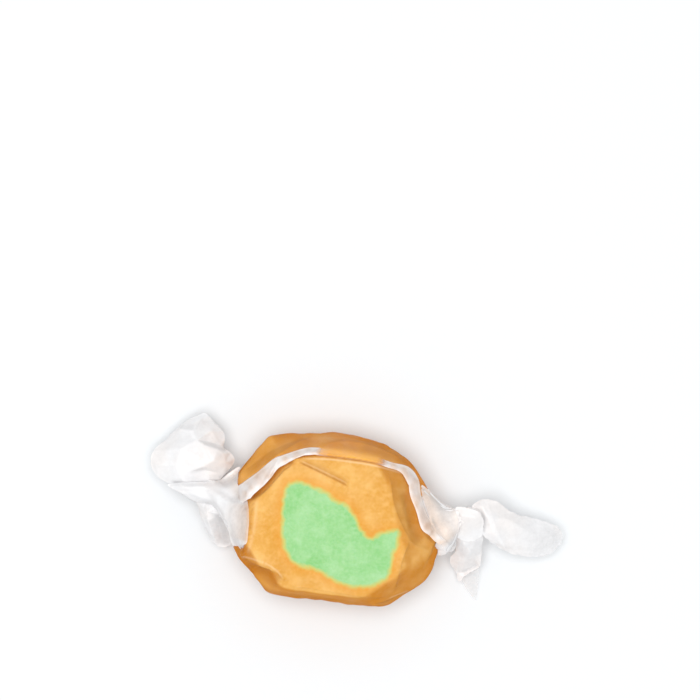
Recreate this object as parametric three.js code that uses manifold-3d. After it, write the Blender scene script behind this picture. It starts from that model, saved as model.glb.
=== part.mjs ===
// One piece of salt water taffy in its twisted wax paper, in millimetres, +Z up.
//
// The taffy is a puck cut from a pulled rope: a caramel-coloured outside round a green centre that runs through
// from one cut face to the other. It lies on one cut face, with the origin at the middle of that face. One sheet
// of wax paper is rolled round it along X and gathered at both ends. Where the paper clings to the taffy it is
// as thin as a skin and isn't modelled. The wrapper here is the paper that stands clear: the two gathered cups
// with their necks, the sheet's loose edge that runs between them over the upper face, the puffed tail at -X,
// and the two folded tails at +X.
import * as THREE from "three";
import { mergeVertices } from "three/addons/utils/BufferGeometryUtils.js";
import Module from "manifold-3d";

const wasm = await Module();
wasm.setup();

// ---- Driving dimensions ----

const TAFFY_HEIGHT = 15.5;
const WAIST_HEIGHT = 7.4; // height of the taffy's widest outline
const FACE_EDGE_HEIGHT = 14.6; // height at which the upper cut face turns into the bevels
const FOOT_EDGE_HEIGHT = 0.9;
const BEVEL_DROP = 6.0; // how far down a side its upper bevel runs
const FOOT_INSET = 2.0; // how far each side draws in towards the foot
const FOOT_SETTLED = 0.6; // how much of the rounded underside is pressed flat on the ground
const CREASE_SHARPNESS = 46; // higher makes the creases between facets crisper

// The taffy's sides: which way each faces, in degrees from +X, how far it is from the middle, and how far the
// upper cut face's edge lies inside it.
const SIDES = [
  { facing: 10, reach: 13.15, inset: 4.9 },
  { facing: 27, reach: 12.7, inset: 4.0 },
  { facing: 47, reach: 12.5, inset: 2.2 },
  { facing: 69, reach: 11.8, inset: 2.5 },
  { facing: 81, reach: 11.6, inset: 2.7 },
  { facing: 93, reach: 11.9, inset: 3.1 },
  { facing: 141, reach: 14.4, inset: 3.9 },
  { facing: 177, reach: 13.9, inset: 2.0 },
  { facing: 206, reach: 14.2, inset: 1.7 },
  { facing: 220, reach: 13.6, inset: 2.3 },
  { facing: 263, reach: 11.1, inset: 1.4 },
  { facing: 302, reach: 13.4, inset: 3.1 },
  { facing: 329, reach: 14.6, inset: 3.3 },
  { facing: 344, reach: 14.3, inset: 2.4 },
];

// The upper cut face is two shallow planes, each tipped a few degrees from level.
const FACE_PLANES = [
  { facing: -80, tip: 4.5 },
  { facing: 100, tip: 3.5 },
];

// The green centre's outline on the cut face, as the points of a closed smooth curve.
const CENTRE_OUTLINE = [
  [-6.6, 4.2],
  [-5.0, 5.4],
  [-1.8, 3.9],
  [1.3, 2.1],
  [3.2, -1.0],
  [4.6, -2.3],
  [6.0, -1.4],
  [8.3, -1.1],
  [8.0, -3.2],
  [7.4, -6.8],
  [3.6, -8.5],
  [1.0, -8.3],
  [-2.6, -5.9],
  [-4.6, -5.7],
  [-6.9, -3.0],
  [-7.1, 0.5],
];
const CENTRE_STEPS = 72;

const PIECE_GAP = 0.3; // clearance between touching pieces
const PAPER = 0.4; // thickness that the paper's layers have in this model
const LOOSE_EDGE_LIFT = 0.45; // how far the loose edge stands off the taffy

// The gathered ends. The neck is where the paper is twisted, and the cup is the paper between it and the taffy.
// A cup's rim is given as turns round X, in degrees from +Y by way of +Z, each with the rim's distance along X.
const LEFT_END = {
  side: -1,
  neck: new THREE.Vector3(-17.3, 3.6, 6.6),
  neckRadius: 1.7,
  rim: [
    [0, 13.0],
    [50, 13.0],
    [70, 11.9],
    [90, 11.5],
    [110, 12.0],
    [130, 13.2],
    [180, 13.3],
    [270, 12.0],
    [360, 13.0],
  ],
  pleats: 9,
  pleatDepth: 0.42,
};
const RIGHT_END = {
  side: 1,
  neck: new THREE.Vector3(16.9, 1.2, 7.2),
  neckRadius: 1.6,
  rim: [
    [0, 12.2],
    [35, 11.4],
    [55, 9.6],
    [70, 10.1],
    [90, 11.1],
    [110, 12.6],
    [130, 13.2],
    [180, 13.2],
    [270, 12.0],
    [360, 12.2],
  ],
  pleats: 8,
  pleatDepth: 0.38,
};
const CUP_WAIST = 0.9; // how far a cup's sides draw in, halfway to the neck
const NECK_TWIST = 0.18; // turns that the pleats wind round on their way to the neck
const PLEAT_UNEVENNESS = 0.35; // how far, in pleats, they crowd together on one side

// The sheet's loose edge: a narrow band that follows this line over the upper face, from cup to cup. Each point
// is X, Y and the band's half width.
const LOOSE_EDGE = [
  [-12.4, 2.4, 1.3],
  [-10.3, 5.6, 1.1],
  [-7.6, 8.0, 0.8],
  [-3.2, 9.2, 0.6],
  [1.4, 8.9, 0.5],
  [5.4, 8.0, 0.5],
  [8.8, 6.0, 0.8],
  [10.6, 3.0, 0.9],
  [11.9, 0.0, 0.9],
  [12.3, -1.2, 0.8],
];

// The paper beyond the necks, and the loose pleat on the -X cup. Each is a flattened, folded tube of paper, and
// each of its stations is one edge's X and Y, the other edge's X and Y, the height of the middle, and half the
// thickness there.
const PUFFED_TAIL = [
  [-18.7, 2.9, -15.9, 4.4, 6.6, 1.4],
  [-20.6, 3.4, -15.3, 5.2, 6.6, 1.8],
  [-22.6, 4.5, -14.5, 6.2, 6.4, 2.3],
  [-24.4, 6.1, -13.7, 7.3, 6.0, 2.8],
  [-24.8, 8.3, -13.9, 8.5, 5.6, 3.0],
  [-23.9, 9.5, -15.0, 9.9, 5.3, 2.8],
  [-22.1, 11.4, -15.1, 11.3, 4.9, 2.2],
  [-20.6, 12.9, -16.2, 12.8, 4.6, 1.4],
  [-18.3, 14.1, -17.4, 14.0, 4.4, 0.4],
];
const LONG_TAIL = [
  [16.3, 2.1, 16.6, 0.3, 7.2, 1.1],
  [17.8, 2.2, 18.2, 0.3, 7.5, 1.1],
  [19.5, 2.6, 19.6, -1.0, 7.5, 1.0],
  [21.2, 2.3, 20.1, -2.8, 7.1, 0.9],
  [23.3, 1.1, 22.0, -4.2, 6.3, 0.8],
  [25.4, 0.5, 24.5, -4.9, 5.4, 0.7],
  [27.6, -0.3, 27.0, -5.1, 4.5, 0.7],
  [29.5, -0.6, 29.0, -4.6, 3.9, 0.6],
  [30.4, -2.0, 30.3, -3.0, 3.7, 0.4],
];
const SHORT_TAIL = [
  [15.9, 1.9, 18.0, 1.9, 7.2, 1.1],
  [15.8, 0.5, 19.3, 0.7, 7.1, 1.0],
  [15.9, -1.4, 19.8, -0.9, 6.4, 0.9],
  [16.0, -3.7, 19.5, -3.2, 5.0, 0.8],
  [15.2, -5.7, 19.4, -5.0, 3.6, 0.8],
  [15.8, -7.0, 19.0, -6.6, 2.6, 0.6],
  [16.3, -8.4, 17.0, -8.2, 1.9, 0.4],
];
const SHEET_CORNER = [
  [16.6, -6.6, 19.2, -6.0, 3.0, 0.35],
  [17.3, -8.9, 19.1, -8.2, 1.8, 0.3],
  [18.6, -11.2, 19.0, -11.2, 0.8, 0.25],
];
const LOOSE_PLEAT = [
  [-18.7, 2.6, -15.6, 2.8, 6.2, 1.0],
  [-18.6, 1.1, -15.8, 0.8, 5.6, 1.1],
  [-18.0, -0.3, -15.9, -0.6, 4.6, 1.0],
  [-17.5, -1.8, -15.8, -1.7, 3.5, 0.7],
  [-16.6, -3.0, -15.9, -3.0, 2.6, 0.4],
];
const LOOSE_EDGE_STEPS = 40;
const TAIL_STEPS = 12;

// The folds that run along each tail. Each is its place between the tail's edges, from -1 to 1, the height of
// the upper layer there, and the depth of the lower layer, as shares of half the thickness.
const FOLDS = [
  [-0.8, 0.7, 0.5],
  [-0.52, 0.35, 0.95],
  [-0.15, 1.0, 0.6],
  [0.14, 0.5, 1.0],
  [0.5, 0.95, 0.45],
  [0.8, 0.4, 0.6],
];
const FOLD_WANDER = 0.08; // how far a fold strays sideways along its tail
const FOLD_UNEVEN = 0.22; // how much a fold's height changes along its tail

// How finely the rounded forms are divided.
const TAFFY_RINGS = 22;
const TAFFY_RING_POINTS = 60;
const CUP_RING_POINTS = 60;
const CUP_RINGS = 10;
const MERIDIAN_STEP = 0.01; // in radians
const MERIDIAN_END = 0.1;
const GROUND_BLOCK = { width: 120, depth: 20 };

// ---- Materials ----

const caramel = new THREE.MeshStandardMaterial({
  color: 0xf4ae5c,
  roughness: 0.55,
  metalness: 0,
});
const green = new THREE.MeshStandardMaterial({
  color: 0xa4e29a,
  roughness: 0.55,
  metalness: 0,
});
const waxPaper = new THREE.MeshStandardMaterial({
  color: 0xf6f4f1,
  roughness: 0.45,
  metalness: 0,
});

// ---- Helpers ----

const radians = THREE.MathUtils.degToRad;
const { smoothstep, lerp } = THREE.MathUtils;

function manifoldOf(geometry) {
  const bare = geometry.clone();
  bare.deleteAttribute("normal");
  bare.deleteAttribute("uv");
  const merged = mergeVertices(bare, 1e-4);
  return new wasm.Manifold(
    new wasm.Mesh({
      numProp: 3,
      vertProperties: new Float32Array(merged.attributes.position.array),
      triVerts: new Uint32Array(merged.index.array),
    }),
  );
}

function meshOf(solid, name, material) {
  const { vertProperties, triVerts } = solid.getMesh();
  const geometry = new THREE.BufferGeometry();
  geometry.setAttribute("position", new THREE.BufferAttribute(vertProperties, 3));
  geometry.setIndex(new THREE.BufferAttribute(triVerts, 1));
  geometry.computeVertexNormals();
  const mesh = new THREE.Mesh(geometry, material);
  mesh.name = name;
  return mesh;
}

// A closed solid through rings of points. Each ring has as many points, running anticlockwise as seen from the
// last ring, and both ends are closed by a fan.
function ringSolid(rings) {
  const count = rings[0].length;
  const middle = (ring) =>
    ring.reduce((sum, p) => sum.add(p), new THREE.Vector3()).divideScalar(count);
  const points = [...rings.flat(), middle(rings[0]), middle(rings.at(-1))];
  const [firstHub, lastHub] = [points.length - 2, points.length - 1];
  const lastRing = (rings.length - 1) * count;
  const index = [];
  for (let j = 0; j < count; j++) {
    const next = (j + 1) % count;
    for (let start = 0; start < lastRing; start += count) {
      const above = start + count;
      index.push(start + j, start + next, above + next);
      index.push(start + j, above + next, above + j);
    }
    index.push(firstHub, next, j);
    index.push(lastHub, lastRing + j, lastRing + next);
  }
  const geometry = new THREE.BufferGeometry().setFromPoints(points);
  geometry.setIndex(index);
  return manifoldOf(geometry);
}

// An irregular zigzag between -1 and 1, with this many teeth in a turn.
function zigzag(turn, teeth, phase) {
  const crowded = PLEAT_UNEVENNESS * Math.sin(2 * Math.PI * turn + phase);
  const uneven = turn * teeth + crowded + phase;
  const part = uneven - Math.floor(uneven);
  return 1 - 4 * Math.abs(part - 0.5);
}

// ---- The taffy ----

const CENTRE_POINT = new THREE.Vector3(0, 0, WAIST_HEIGHT);

function unitAt(facing, elevation) {
  const flat = Math.cos(elevation);
  return new THREE.Vector3(
    flat * Math.cos(radians(facing)),
    flat * Math.sin(radians(facing)),
    Math.sin(elevation),
  );
}

// Each facet is a plane: its outward normal, and its distance from the centre point.
function taffyFacets() {
  const facets = [];
  for (const { facing, reach, inset } of SIDES) {
    facets.push({ normal: unitAt(facing, 0), distance: reach });
    const bevel = Math.atan2(inset, BEVEL_DROP);
    const faceEdge = new THREE.Vector2(reach - inset, FACE_EDGE_HEIGHT - WAIST_HEIGHT);
    facets.push({
      normal: unitAt(facing, bevel),
      distance: faceEdge.x * Math.cos(bevel) + faceEdge.y * Math.sin(bevel),
    });
    const undercut = Math.atan2(FOOT_INSET, WAIST_HEIGHT - FOOT_EDGE_HEIGHT);
    facets.push({
      normal: unitAt(facing, -undercut),
      distance:
        (reach - FOOT_INSET) * Math.cos(undercut) +
        (WAIST_HEIGHT - FOOT_EDGE_HEIGHT) * Math.sin(undercut),
    });
  }
  for (const { facing, tip } of FACE_PLANES) {
    const elevation = Math.PI / 2 - radians(tip);
    facets.push({
      normal: unitAt(facing, elevation),
      distance: TAFFY_HEIGHT - WAIST_HEIGHT,
    });
  }
  facets.push({ normal: new THREE.Vector3(0, 0, -1), distance: WAIST_HEIGHT + FOOT_SETTLED });
  return facets;
}
const FACETS = taffyFacets();

// How far the taffy's surface is from the centre point in this direction: a polytope with softened creases.
function taffyRadius(direction) {
  let sum = 0;
  for (const { normal, distance } of FACETS) {
    const share = normal.dot(direction) / distance;
    if (share > 0) sum += share ** CREASE_SHARPNESS;
  }
  return sum ** (-1 / CREASE_SHARPNESS);
}

function taffySurface(direction, outward = 0) {
  return direction.clone().multiplyScalar(taffyRadius(direction) + outward).add(CENTRE_POINT);
}

// The taffy's whole form, grown outward by this much, down to its flat foot.
function taffyForm(outward) {
  const rings = [];
  for (let i = 1; i < TAFFY_RINGS; i++) {
    const elevation = Math.PI * (i / TAFFY_RINGS - 0.5);
    rings.push(
      Array.from({ length: TAFFY_RING_POINTS }, (_, j) =>
        taffySurface(unitAt((360 * j) / TAFFY_RING_POINTS, elevation), outward),
      ),
    );
  }
  return ringSolid(rings);
}

function belowGround() {
  const { width, depth } = GROUND_BLOCK;
  return manifoldOf(new THREE.BoxGeometry(width, width, depth).translate(0, 0, -depth / 2));
}

// A prism with the green centre's outline, grown outward by this much.
function centrePrism(outward) {
  const curve = new THREE.CatmullRomCurve3(
    CENTRE_OUTLINE.map(([x, y]) => new THREE.Vector3(x, y, 0)),
    true,
  );
  const outline = Array.from({ length: CENTRE_STEPS }, (_, i) => {
    const t = 1 - i / CENTRE_STEPS;
    const along = curve.getTangentAt(t);
    const point = curve.getPointAt(t);
    return new THREE.Vector2(point.x - along.y * outward, point.y + along.x * outward);
  });
  const prism = new THREE.ExtrudeGeometry(new THREE.Shape(outline), {
    depth: TAFFY_HEIGHT * 2,
    bevelEnabled: false,
  });
  return manifoldOf(prism.translate(0, 0, -TAFFY_HEIGHT / 2));
}

// ---- The wrapper ----

// The direction from the centre point at this angle from the end's own X direction, and this turn round X.
function aroundX(side, angle, turn) {
  return new THREE.Vector3(
    side * Math.cos(angle),
    Math.sin(angle) * Math.cos(turn),
    Math.sin(angle) * Math.sin(turn),
  );
}

// The rim's distance along X at this turn.
function rimAt(end, turn) {
  const degrees = THREE.MathUtils.radToDeg(turn);
  const after = end.rim.findIndex(([at]) => at > degrees);
  const [[from, low], [to, high]] = [end.rim[after - 1], end.rim[after]];
  return lerp(low, high, smoothstep(degrees, from, to));
}

// One meridian of a cup, from its rim to the neck, as [distance along X, distance from the axis]. It lies on
// the taffy as far as the point from which a straight line to the neck clears it.
function cupMeridian(end, turn) {
  const reachOut = Math.abs(end.neck.x);
  const rim = rimAt(end, turn);
  const onTaffy = [];
  for (let angle = Math.PI / 2; angle > MERIDIAN_END; angle -= MERIDIAN_STEP) {
    const radius = taffyRadius(aroundX(end.side, angle, turn)) + PIECE_GAP + PAPER;
    const point = new THREE.Vector2(radius * Math.cos(angle), radius * Math.sin(angle));
    if (point.x > rim) onTaffy.push(point);
  }
  const slope = (p) => Math.atan2(p.y - end.neckRadius, reachOut - p.x);
  const leaving = onTaffy.reduce((best, p) => (slope(p) > slope(best) ? p : best));
  const path = onTaffy.slice(0, onTaffy.indexOf(leaving) + 1);
  return { path: [...path, new THREE.Vector2(reachOut, end.neckRadius)], leaving: leaving.x };
}

// This many points, evenly spaced along a path.
function evenly(path, count) {
  const line = new THREE.CurvePath();
  path.slice(1).forEach((p, i) => line.add(new THREE.LineCurve(path[i], p)));
  return line.getSpacedPoints(count - 1);
}

// How far the pleats stand out from the meridian. They wind round the neck.
function pleatRelief(end, turn, t) {
  const wound = turn / (2 * Math.PI) + NECK_TWIST * t * t;
  return end.pleatDepth * Math.sqrt(t) * zigzag(wound, end.pleats, end.side);
}

function cup(end) {
  const reachOut = Math.abs(end.neck.x);
  const meridians = Array.from({ length: CUP_RING_POINTS }, (_, j) => {
    const turn = (2 * Math.PI * j) / CUP_RING_POINTS;
    const { path, leaving } = cupMeridian(end, turn);
    return evenly(path, CUP_RINGS + 1).map((p) => {
      const t = THREE.MathUtils.clamp((p.x - leaving) / (reachOut - leaving), 0, 1);
      const radius = p.y - CUP_WAIST * Math.sin(Math.PI * t) + pleatRelief(end, turn, t);
      const drawn = smoothstep(t, 0, 1);
      return new THREE.Vector3(
        end.side * p.x,
        radius * Math.cos(turn) + end.neck.y * drawn,
        radius * Math.sin(turn) + WAIST_HEIGHT + (end.neck.z - WAIST_HEIGHT) * drawn,
      );
    });
  });
  const rings = meridians[0].map((_, i) => meridians.map((points) => points[i]));
  if (end.side < 0) rings.reverse();
  return ringSolid(rings);
}

// A repeatable value between -1 and 1 for each pair of numbers.
function scatter(a, b) {
  const wave = Math.sin(a * 12.9898 + b * 78.233) * 43758.5453;
  return 2 * (wave - Math.floor(wave)) - 1;
}

// One section of a tail between its two edges: the upper layer out and the lower layer back.
function foldedSection(oneEdge, otherEdge, half, step) {
  const middle = oneEdge.clone().lerp(otherEdge, 0.5);
  const across = otherEdge.clone().sub(middle);
  const point = ([place, height], fold) => {
    const strayed = place + FOLD_WANDER * scatter(step, fold) * (1 - place * place);
    const spot = middle.clone().addScaledVector(across, strayed);
    spot.z += half * height * (1 + FOLD_UNEVEN * scatter(fold, step));
    return spot;
  };
  const upper = FOLDS.map(([place, height], i) => point([place, height], i + 1));
  const lower = FOLDS.map(([place, , depth], i) => point([place, -depth], -i - 1)).reverse();
  return [oneEdge, ...upper, otherEdge, ...lower];
}

// A tail: a flattened, folded tube of paper through its stations. It is filled here.
function tail(stations) {
  const curve = (pick) =>
    new THREE.CatmullRomCurve3(stations.map((row) => new THREE.Vector3(...pick(row))));
  const oneEdge = curve(([x, y, , , z]) => [x, y, z]);
  const otherEdge = curve(([, , x, y, z]) => [x, y, z]);
  const thickness = curve(([, , , , , half]) => [half, 0, 0]);
  const rings = Array.from({ length: TAIL_STEPS + 1 }, (_, i) => {
    const t = i / TAIL_STEPS;
    return foldedSection(
      oneEdge.getPoint(t),
      otherEdge.getPoint(t),
      thickness.getPoint(t).x,
      i,
    );
  });
  const solid = ringSolid(rings);
  return solid.volume() > 0 ? solid : ringSolid(rings.reverse());
}

// The taffy's upper surface above this point, grown outward, found by tipping a ray from the centre point.
function upperSurface(x, y, outward) {
  let height = TAFFY_HEIGHT - WAIST_HEIGHT;
  for (let i = 0; i < 30; i++) {
    const ray = new THREE.Vector3(x, y, height);
    const scale = (taffyRadius(ray.clone().normalize()) + outward) / ray.length();
    height *= scale;
  }
  return new THREE.Vector3(x, y, WAIST_HEIGHT + height);
}

// The loose edge: a thin band that stands a little clear of the upper face.
function looseEdge() {
  const line = new THREE.CatmullRomCurve3(LOOSE_EDGE.map((p) => new THREE.Vector3(...p)));
  const rings = Array.from({ length: LOOSE_EDGE_STEPS + 1 }, (_, i) => {
    const t = i / LOOSE_EDGE_STEPS;
    const { x, y, z: halfWidth } = line.getPoint(t);
    const along = line.getTangent(t).setZ(0).normalize();
    const corner = (sideways, outward) =>
      upperSurface(
        x - along.y * sideways * halfWidth,
        y + along.x * sideways * halfWidth,
        outward,
      );
    const low = LOOSE_EDGE_LIFT;
    const high = LOOSE_EDGE_LIFT + PAPER;
    return [corner(-1, low), corner(1, low), corner(1, high), corner(-1, high)];
  });
  return ringSolid(rings);
}

function wrapper() {
  const paper = [
    cup(LEFT_END),
    cup(RIGHT_END),
    looseEdge(),
    tail(PUFFED_TAIL),
    tail(LONG_TAIL),
    tail(SHORT_TAIL),
    tail(SHEET_CORNER),
    tail(LOOSE_PLEAT),
  ];
  return paper.reduce((joined, piece) => joined.add(piece));
}

// ---- The object ----

const ground = belowGround();
const wholeTaffy = taffyForm(0).subtract(ground);
const taffyOutside = wholeTaffy.subtract(centrePrism(PIECE_GAP / 2));
const taffyCentre = wholeTaffy.intersect(centrePrism(-PIECE_GAP / 2));
const wrapperSolid = wrapper().subtract(taffyForm(PIECE_GAP)).subtract(ground);

const group = new THREE.Group();
group.add(meshOf(taffyOutside, "taffy_caramel", caramel));
group.add(meshOf(taffyCentre, "taffy_green_centre", green));
group.add(meshOf(wrapperSolid, "wax_paper_wrapper", waxPaper));

export default group;
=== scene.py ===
import math

import bpy
import numpy as np
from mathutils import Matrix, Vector
from mathutils.bvhtree import BVHTree
from mathutils.geometry import delaunay_2d_cdt


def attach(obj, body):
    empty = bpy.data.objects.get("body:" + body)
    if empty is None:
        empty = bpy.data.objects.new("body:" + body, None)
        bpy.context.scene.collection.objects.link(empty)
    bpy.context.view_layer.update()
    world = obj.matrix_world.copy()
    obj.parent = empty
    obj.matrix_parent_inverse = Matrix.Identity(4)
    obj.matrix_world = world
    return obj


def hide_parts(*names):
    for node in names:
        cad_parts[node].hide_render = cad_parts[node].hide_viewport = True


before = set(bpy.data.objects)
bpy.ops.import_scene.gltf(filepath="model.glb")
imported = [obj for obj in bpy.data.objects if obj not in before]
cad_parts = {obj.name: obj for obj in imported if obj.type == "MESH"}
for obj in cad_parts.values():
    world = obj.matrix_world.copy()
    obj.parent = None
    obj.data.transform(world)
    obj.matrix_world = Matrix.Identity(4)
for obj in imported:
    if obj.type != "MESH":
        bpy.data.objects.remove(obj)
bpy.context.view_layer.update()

MM = 0.001

# ---- The taffy's form, as in the CAD model ----

TAFFY_HEIGHT = 15.5
WAIST_HEIGHT = 7.4
FACE_EDGE_HEIGHT = 14.6
FOOT_EDGE_HEIGHT = 0.9
BEVEL_DROP = 6.0
FOOT_INSET = 2.0
FOOT_SETTLED = 0.6
CREASE_SHARPNESS = 46
FOOT_LIFT = 0.08  # the taffy's foot stands this far off the ground, on its paper

# Each side: which way it faces in degrees, how far out it is, and how far in the face's edge lies.
SIDES = (
    (10, 13.15, 4.9), (27, 12.7, 4), (47, 12.5, 2.2), (69, 11.8, 2.5), (81, 11.6, 2.7), (93, 11.9, 3.1),
    (141, 14.4, 3.9), (177, 13.9, 2), (206, 14.2, 1.7), (220, 13.6, 2.3), (263, 11.1, 1.4),
    (302, 13.4, 3.1), (329, 14.6, 3.3), (344, 14.3, 2.4),
)
FACE_PLANES = ((-80, 4.5), (100, 3.5))  # which way each faces, and its tip in degrees
CENTRE_POINT = np.array([0.0, 0.0, WAIST_HEIGHT])

CENTRE_OUTLINE = (
    (-6.5, 4.35), (-5.95, 5.1), (-4.6, 5.2), (-3.4, 4.75), (-1.5, 3.9), (-0.35, 2.9), (1, 2.35),
    (1.95, 1.4), (2.5, 0.6), (2.9, -0.5), (3.5, -1.45), (4.45, -2.2), (5.1, -2.05), (6, -1.45), (7.1, -1.2),
    (8.15, -1.15), (8, -3), (7.3, -4.3), (7.1, -6), (6.5, -7.55), (5.2, -8.1), (4.2, -8.45), (2.3, -8.5),
    (0.4, -7.95), (-0.75, -7.25), (-2.65, -6.2), (-4.2, -5.85), (-5.5, -5.25), (-6.3, -4.3), (-6.95, -2.6),
    (-7.1, -0.9), (-7, 1.4), (-6.8, 3.1),
)
CENTRE_STEPS = 240

# Creases that the paper presses into the upper face. Each is its line, its height, and how far it fades on
# the left and on the right of the line. Where one of the two is short, the crease is a sharp step.
CREASES = (
    (((-5.2, 8.05), (-3.4, 7.2), (-0.6, 5.85), (1.9, 4.5)), 0.34, 1, 0.08),
    (((-10.9, 3.6), (-11.1, -0.1), (-11.9, -3.6), (-12.9, -5)), 0.3, 0.25, 0.7),
    (((-12.9, -5.2), (-11.9, -4.6), (-10.2, -5.5), (-7.3, -6.8), (-6.5, -8)), 0.5, 0.8, 0.25),
    (((-6.6, -8.1), (-1.5, -8.9), (4.2, -9.8), (7.5, -9.6)), 0.24, 0.7, 0.25),
    (((6.9, 6.3), (7.3, 2.6), (8.3, -0.1), (9.5, -2.4), (10.9, -3.5), (13.2, -3.9)), 0.3, 0.5, 0.7),
    (((9.4, -2.2), (8.3, -5.6), (7.4, -9.4)), 0.32, 0.4, 0.7),
    (((4.2, -11.2), (7, -10.3), (9.6, -9.3)), 0.35, 0.6, 0.08),
    (((5.4, -11.6), (7.6, -10.9), (9.4, -10.2)), 0.3, 0.4, 0.08),
    (((-4.9, 8.5), (-3, 8.75), (1.2, 8.3), (5.2, 7.65), (9.2, 6.4)), 0.42, 1.1, 0.08),
    (((-10.3, 6.4), (-7.3, 8.7), (-4.2, 10.4), (-3.2, 10.9)), 0.35, 0.8, 0.25),
    (((-2.2, 9.9), (2, 10.2), (6, 9.2), (9.6, 7.4)), 0.25, 0.5, 0.5),
    (((4.8, -2.6), (6.4, -5.4), (6.6, -7.2)), 0.08, 0.8, 0.4),
    (((-9.4, 2), (-8.9, -1.6), (-9.8, -4.6)), 0.1, 0.9, 0.4),
)
# Hollows of the upper face: each is its line, its depth and how far it reaches to either side.
HOLLOWS = (
    (((8.9, 5.2), (9.5, 2.8), (10.1, 0.3), (10.8, -2), (11.4, -3)), 0.42, 0.8),
    (((-11.8, -6), (-9.6, -6.5), (-7.2, -7.4)), 0.5, 0.7),
    (((-11.2, 3), (-8.9, 5.4), (-7.3, 7.2), (-5.4, 8.2)), 0.6, 0.5),
    (((-12.3, 2.2), (-12.5, -1.5), (-13, -4.2)), 0.35, 0.5),
)
# Lines of painted shadow, where the taffy lies in shade under and beside the paper's folds: how far each
# reaches left and right, and how dark.
FOLD_SHADOWS = (
    (((-11.5, 2.6), (-10.4, 3.75), (-8.4, 5.8), (-7.3, 7.1), (-5.2, 8.3)), 0.6, 0.35, 0.8),
    (((-6.6, 8), (-4.9, 8.5), (-3, 8.75), (1.2, 8.3), (5.2, 7.65), (9.2, 6.4)), 0.14, 0.12, 0.8),
    (((-5, 7.93), (-3.2, 7.1), (-0.6, 5.85), (1.7, 4.65)), 0.08, 0.12, 0.85),
    (((-4.6, 8.1), (-2.8, 7.35), (-0.3, 6.1), (1.7, 4.95)), 0.4, 0.4, 0.3),
    (((7.8, 5.9), (7.9, 3.6), (8.3, 1.2), (9.1, -0.9), (10.2, -2.4)), 0.6, 0.7, 0.1),
    (((9.1, 4.3), (9.5, 2.2), (9.9, 0.2), (10.5, -1.9), (11, -3.2)), 0.9, 0.8, 0.4),
    (((8.7, 6.5), (9.7, 4.8), (10.4, 2.2), (11.4, -1.2), (12.1, -2.1), (13.5, -3.5)), 0.12, 0.2, 0.5),
    (((10.8, 4.9), (11.2, 2.5), (11.9, 0.2)), 0.1, 0.14, 0.85),
    (((-12, -5.9), (-10.2, -6.3), (-8.5, -6.9), (-7, -7.8)), 0.75, 0.7, 0.36),
    (((-10.8, 3.2), (-11.1, 1), (-11.4, -1.4), (-12.1, -3.4), (-12.2, -4.8)), 0.1, 0.3, 0.45),
    (((5, -10.95), (6.2, -10.8), (7.2, -10.5), (7.8, -10)), 0.07, 0.08, 0.55),
    (((7.9, -10.1), (8.8, -9.75), (9.7, -9.35)), 0.05, 0.1, 0.35),
    (((-12.7, 6.1), (-10.4, 7.8), (-8.3, 9.3), (-5.6, 10.4), (-2.8, 11.2)), 0.15, 0.8, 0.34),
    (((9.5, -2.6), (8.5, -5.7), (7.6, -9.4)), 0.9, 0.15, 0.12),
    (((3, 10), (6.5, 8.9), (9.5, 7.4), (10.9, 6.2)), 0.9, 0.5, 0.3),
    (((-6, -7.4), (-2, -8.2), (2, -9.3), (6.4, -9.2)), 0.9, 0.8, 0.08),
)
# Lines of painted light, where it is a brighter orange because a fold there faces up.
LIT_FOLDS = (
    (((-3.2, 9.3), (-2, 9.25), (1, 8.95), (4.4, 8.35), (6.4, 7.8)), 0.5, 0.42, 1),
    (((-12.9, 5.2), (-12.2, 7.4), (-10.2, 9.9), (-8, 11.2)), 1.3, 0.9, 0.35),
    (((-11.2, -7.2), (-9, -8.7), (-7, -9.2)), 0.45, 0.4, 0.3),
    (((-9, -8.9), (-4, -9.6), (1, -10.2), (4, -10.6)), 0.5, 0.3, 0.2),
)
# Thin pale lines, where the paper's folds and edges catch the light: how far each reaches, and how pale.
PALE_LINES = (
    (((-4.9, 8.35), (-1.5, 8.25), (1.5, 7.95), (5.2, 7.35), (8.6, 6.3), (9.2, 5.6)), 0.12, 0.1, 0.4),
    (((-4.9, 8.15), (-3, 7.3), (-0.4, 6.05), (1.6, 5.05)), 0.08, 0.12, 0.25),
    (((-12.7, -5.15), (-12, -4.7), (-9.5, -5.35), (-7.8, -6.4), (-6.9, -7.6)), 0.1, 0.12, 0.35),
    (((-10.5, 3.3), (-10.7, 0.6), (-11, -1.5), (-11.8, -4.4)), 0.3, 0.1, 0.2),
    (((6.9, -10.3), (8.2, -9.85), (9.7, -9.35)), 0.07, 0.08, 0.3),
)
BODY_REACH = 13  # about how far the body reaches from its middle
BODY_FOLDS = 13  # folds round each end of the body, which the twist draws in
BODY_FOLD_DEPTH = 0.34
BODY_FOLD_START, BODY_FOLD_FULL = 6.0, 13.0  # how far along X they start, and are at their deepest
BODY_FOLD_WIND = 0.02  # share of a turn that they wind over the body's reach
FACE_SMOOTHNESS = 0.9  # share of their depth that they lose on the upper face
CRUMPLE = 0.13  # depth of the taffy's shallow random facets
CRUMPLE_CELL = 2.6
FACE_CRUMPLE, SIDE_CRUMPLE = 0.7, 1.1  # their depth on the upper face and on the sides, as shares of that
FACE_START, FACE_FULL = 0.12, 0.34  # a direction's rise where the upper face's creases start, and are full

# ---- The twists and the wrapping sheet ----

PAPER_OFFSET = 0.06  # how far the clinging paper lies over the taffy
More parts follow.
